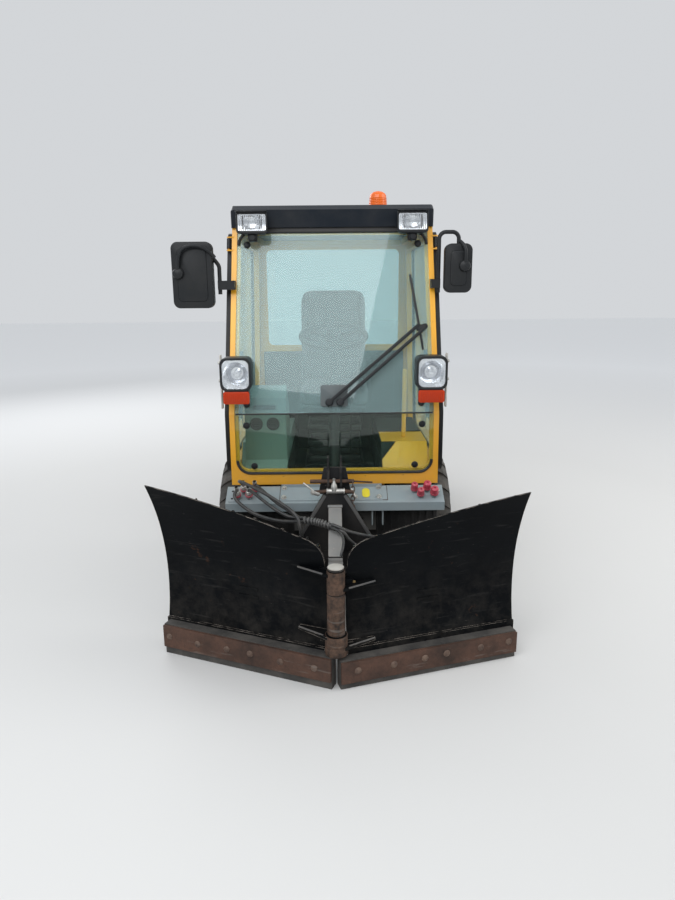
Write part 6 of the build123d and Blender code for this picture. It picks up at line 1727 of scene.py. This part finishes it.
def arch_cover(front_edge, low_x, cheek_x):
    """A mat from its front edge over the arch and down behind, with the cheek on the arch's inner wall."""
    outline = front_edge + ARCH_BACK + [(front_edge[-1][0] + 0.0005, ARCH_UNDER_Z)]
    return [along_x(outline, low_x, 0.222), along_x(ARCH_CHEEK, cheek_x, 0.0025, 0.0008)]


def cover_slot():
    upright = plate(rounded(0.007, 0.046, 0.003), 0.003, 0.001)
    bar = plate(rounded(0.024, 0.007, 0.003), 0.003, 0.001)
    forms = [
        put(upright, (-0.310, -0.9415, 0.856), CONSOLE_OUT),
        put(bar, (-0.310, -0.9418, 0.872), CONSOLE_OUT),
    ]
    piece("cover_slot", forms, black_trim, "black_plastic")


piece("arch_cover_left", arch_cover(LEFT_COVER_FRONT, -0.452, -0.2318), console_green, "console_plastic")
right_gusset = put(plate(GUSSET, 0.003, 0.0008), (0.2305, -0.8925, 0.8600), ARCH_OUT, ARCH_UP)
right_mat = arch_cover(RIGHT_COVER_FRONT, 0.230, 0.2293)
piece("arch_cover_right", right_mat + [right_gusset], liner_grey, "black_plastic")
cover_slot()

# Rubber flaps under the beam
FLAPS_X = (-0.490, 0.150)
FLAP_WIDE, FLAP_RIBS, FLAP_PITCH = 0.340, 10, 0.034


def spray_flap(low_x):
    """A ribbed flap with its clamping strip."""
    forms = [
        slab((low_x, -1.058, 0.430), (low_x + FLAP_WIDE, -1.052, 0.592), 0.002),
        slab((low_x, -1.063, 0.566), (low_x + FLAP_WIDE, -1.058, 0.586), 0.002),
    ]
    for i in range(FLAP_RIBS):
        x = low_x + FLAP_PITCH * (i + 0.5)
        forms.append(slab((x - 0.005, -1.0605, 0.438), (x + 0.005, -1.0575, 0.560), 0.001))
    return forms


piece("spray_flaps", spray_flap(FLAPS_X[0]) + spray_flap(FLAPS_X[1]), seal_rubber, "rubber")

# Door handles
HANDLE_OFF = cab_half(1.12) + 0.0236
LOCK_DISC = [(0.010, 0), (0.010, 0.003), (0.004, 0.004), (0, 0.004)]


def door_handle(name, side):
    """The handle's plate, its grip on two feet, and the lock under them."""
    forms = [
        side_slab(side, HANDLE_OFF, HANDLE_OFF + 0.008, (-0.020, 1.055), (0.014, 1.185), 0.003),
        side_slab(side, HANDLE_OFF + 0.020, HANDLE_OFF + 0.030, (-0.016, 1.070), (0.006, 1.165), 0.004),
    ]
    for z in (1.078, 1.150):
        forms.append(side_slab(side, HANDLE_OFF + 0.006, HANDLE_OFF + 0.024, (-0.012, z), (0.002, z + 0.012)))
    forms.append(turned(LOCK_DISC, (side * (HANDLE_OFF + 0.008), -0.003, 1.062), (side, 0, 0), 20))
    piece("handle_" + name, forms, black_trim, "black_plastic", name)


for hand, side in SIDES.items():
    door_handle("door_" + hand, side)

# Filler cap and step treads
CAP = [
    (0.034, 0), (0.034, 0.004), (0.030, 0.006), (0.030, 0.022), (0.026, 0.026),
    (0.010, 0.027), (0.010, 0.030), (0, 0.030),
]
TREADS, TREAD_PITCH = 7, 0.026


def filler_cap():
    grip = slab((0.360, -0.099, 0.526), (0.424, -0.091, 0.536), 0.003)
    piece("filler_cap", [turned(CAP, (0.392, -0.095, 0.500), UP, 36), grip], black_trim, "black_plastic")


def step_treads():
    """The bars on the tool box's top step, and its catch."""
    forms = []
    for i in range(TREADS):
        y = -0.140 + TREAD_PITCH * i
        forms.append(slab((-0.445, y, 0.5003), (-0.255, y + 0.010, 0.5045), 0.0015))
    forms.append(slab((-0.462, -0.110, 0.420), (-0.455, -0.010, 0.450), 0.002))
    piece("step_treads", forms, zinc, "grey_paint")


filler_cap()
step_treads()

# Tail lamps in two fields on a housing
TAIL_LOW, TAIL_HIGH, TAIL_Y = 0.560, 0.630, 1.6232
TAIL_FLUTES, TAIL_PITCH = 5, 0.011
TAIL_RED, TAIL_AMBER = (0.193, 0.262), (0.264, 0.307)


def tail_housing(side):
    return side_slab(side, 0.190, 0.310, (TAIL_Y, TAIL_LOW), (TAIL_Y + 0.012, TAIL_HIGH), 0.003)


def tail_field(side, near, far):
    """One coloured field with level flutes."""
    inset = 0.004
    low, high = (TAIL_Y + 0.010, TAIL_LOW + inset), (TAIL_Y + 0.026, TAIL_HIGH - inset)
    forms = [side_slab(side, near, far, low, high, 0.003)]
    for i in range(TAIL_FLUTES):
        z = TAIL_LOW + TAIL_PITCH * (i + 1)
        low, high = (TAIL_Y + 0.025, z), (TAIL_Y + 0.0285, z + 0.006)
        forms.append(side_slab(side, near + inset, far - inset, low, high, 0.0012))
    return forms


def tail_lamps():
    housings = [tail_housing(side) for side in SIDES.values()]
    reds = tail_field(-1, *TAIL_RED) + tail_field(1, *TAIL_RED)
    ambers = tail_field(-1, *TAIL_AMBER) + tail_field(1, *TAIL_AMBER)
    for name, forms, paint, slot in (
        ("tail_lamp_housings", housings, black_trim, "black_plastic"),
        ("tail_lamp_red", reds, red_lens, "red_lens"),
        ("tail_lamp_amber", ambers, orange_lens, "orange_lens"),
    ):
        piece(name, forms, paint, slot, "rear_module", ("tail_lamps",))


tail_lamps()

# Bonnet latches and the rear handle
LATCH_NEAR, LATCH_FAR = 0.299, 0.309
LATCH_FOOT_FAR = {-1: LATCH_FAR, 1: LATCH_FAR + 0.003}
LATCHES_Y = (0.640, 1.440)
HANDLE_Y, HANDLE_Z = 1.603, 1.062


def bonnet_latches():
    forms = []
    for side in SIDES.values():
        for y in LATCHES_Y:
            low, high = (y - 0.014, 0.650), (y + 0.014, 0.735)
            forms.append(side_slab(side, LATCH_NEAR, LATCH_FAR, low, high, 0.004))
            foot_low, foot_high = (y - 0.022, 0.655), (y + 0.022, 0.672)
            forms.append(side_slab(side, LATCH_NEAR, LATCH_FOOT_FAR[side], foot_low, foot_high, 0.004))
    for x in (-0.07, 0.07):
        forms.append(rod((x, 1.572, HANDLE_Z), (x, HANDLE_Y, HANDLE_Z), 0.007, 0.001, 16))
    forms.append(rod((-0.085, HANDLE_Y, HANDLE_Z), (0.085, HANDLE_Y, HANDLE_Z), 0.008, 0.003, 16))
    piece("bonnet_latches", forms, black_trim, "black_plastic", "bonnet")


bonnet_latches()

# Floor, painted paler far from the machine: painted light where the lamps light it less
FLOOR_HALF = 30
NEAR_GREY, FAR_PAINTED_LIGHT = (0.66, 0.66, 0.65), (0.93, 0.94, 0.95)


def stage_floor():
    bm = bmesh.new()
    bmesh.ops.create_grid(bm, x_segments=1, y_segments=1, size=FLOOR_HALF)
    mesh = bpy.data.meshes.new("floor")
    bm.to_mesh(mesh)
    bm.free()
    floor = bpy.data.objects.new("floor", mesh)
    scene.collection.objects.link(floor)
    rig.stage(floor)
    ground = Finish("floor_finish", 0.9)
    away = ground.node("ShaderNodeVectorMath", {"Vector": ground.place}, operation="LENGTH").outputs["Value"]
    # Grey near the machine to white far off: painted light that makes up for the lamps' falloff with distance
    ground.wear(Base_Color=ground.blend(ground.ramp(away, 3.0, 11.0), NEAR_GREY, FAR_PAINTED_LIGHT))
    mesh.materials.append(ground.material)


stage_floor()

# World
SKY_GREY, SKY_STRENGTH = (0.88, 0.905, 0.935, 1), 0.74
world = bpy.data.worlds.new("studio")
world.use_nodes = True
scene.world = world
background = world.node_tree.nodes["Background"]
background.inputs["Color"].default_value = SKY_GREY
background.inputs["Strength"].default_value = SKY_STRENGTH

json.dump({"cad": [list(corner) for corner in cad_box], "visual": [list(corner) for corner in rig.bounds()]},
          open("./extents.json", "w"))
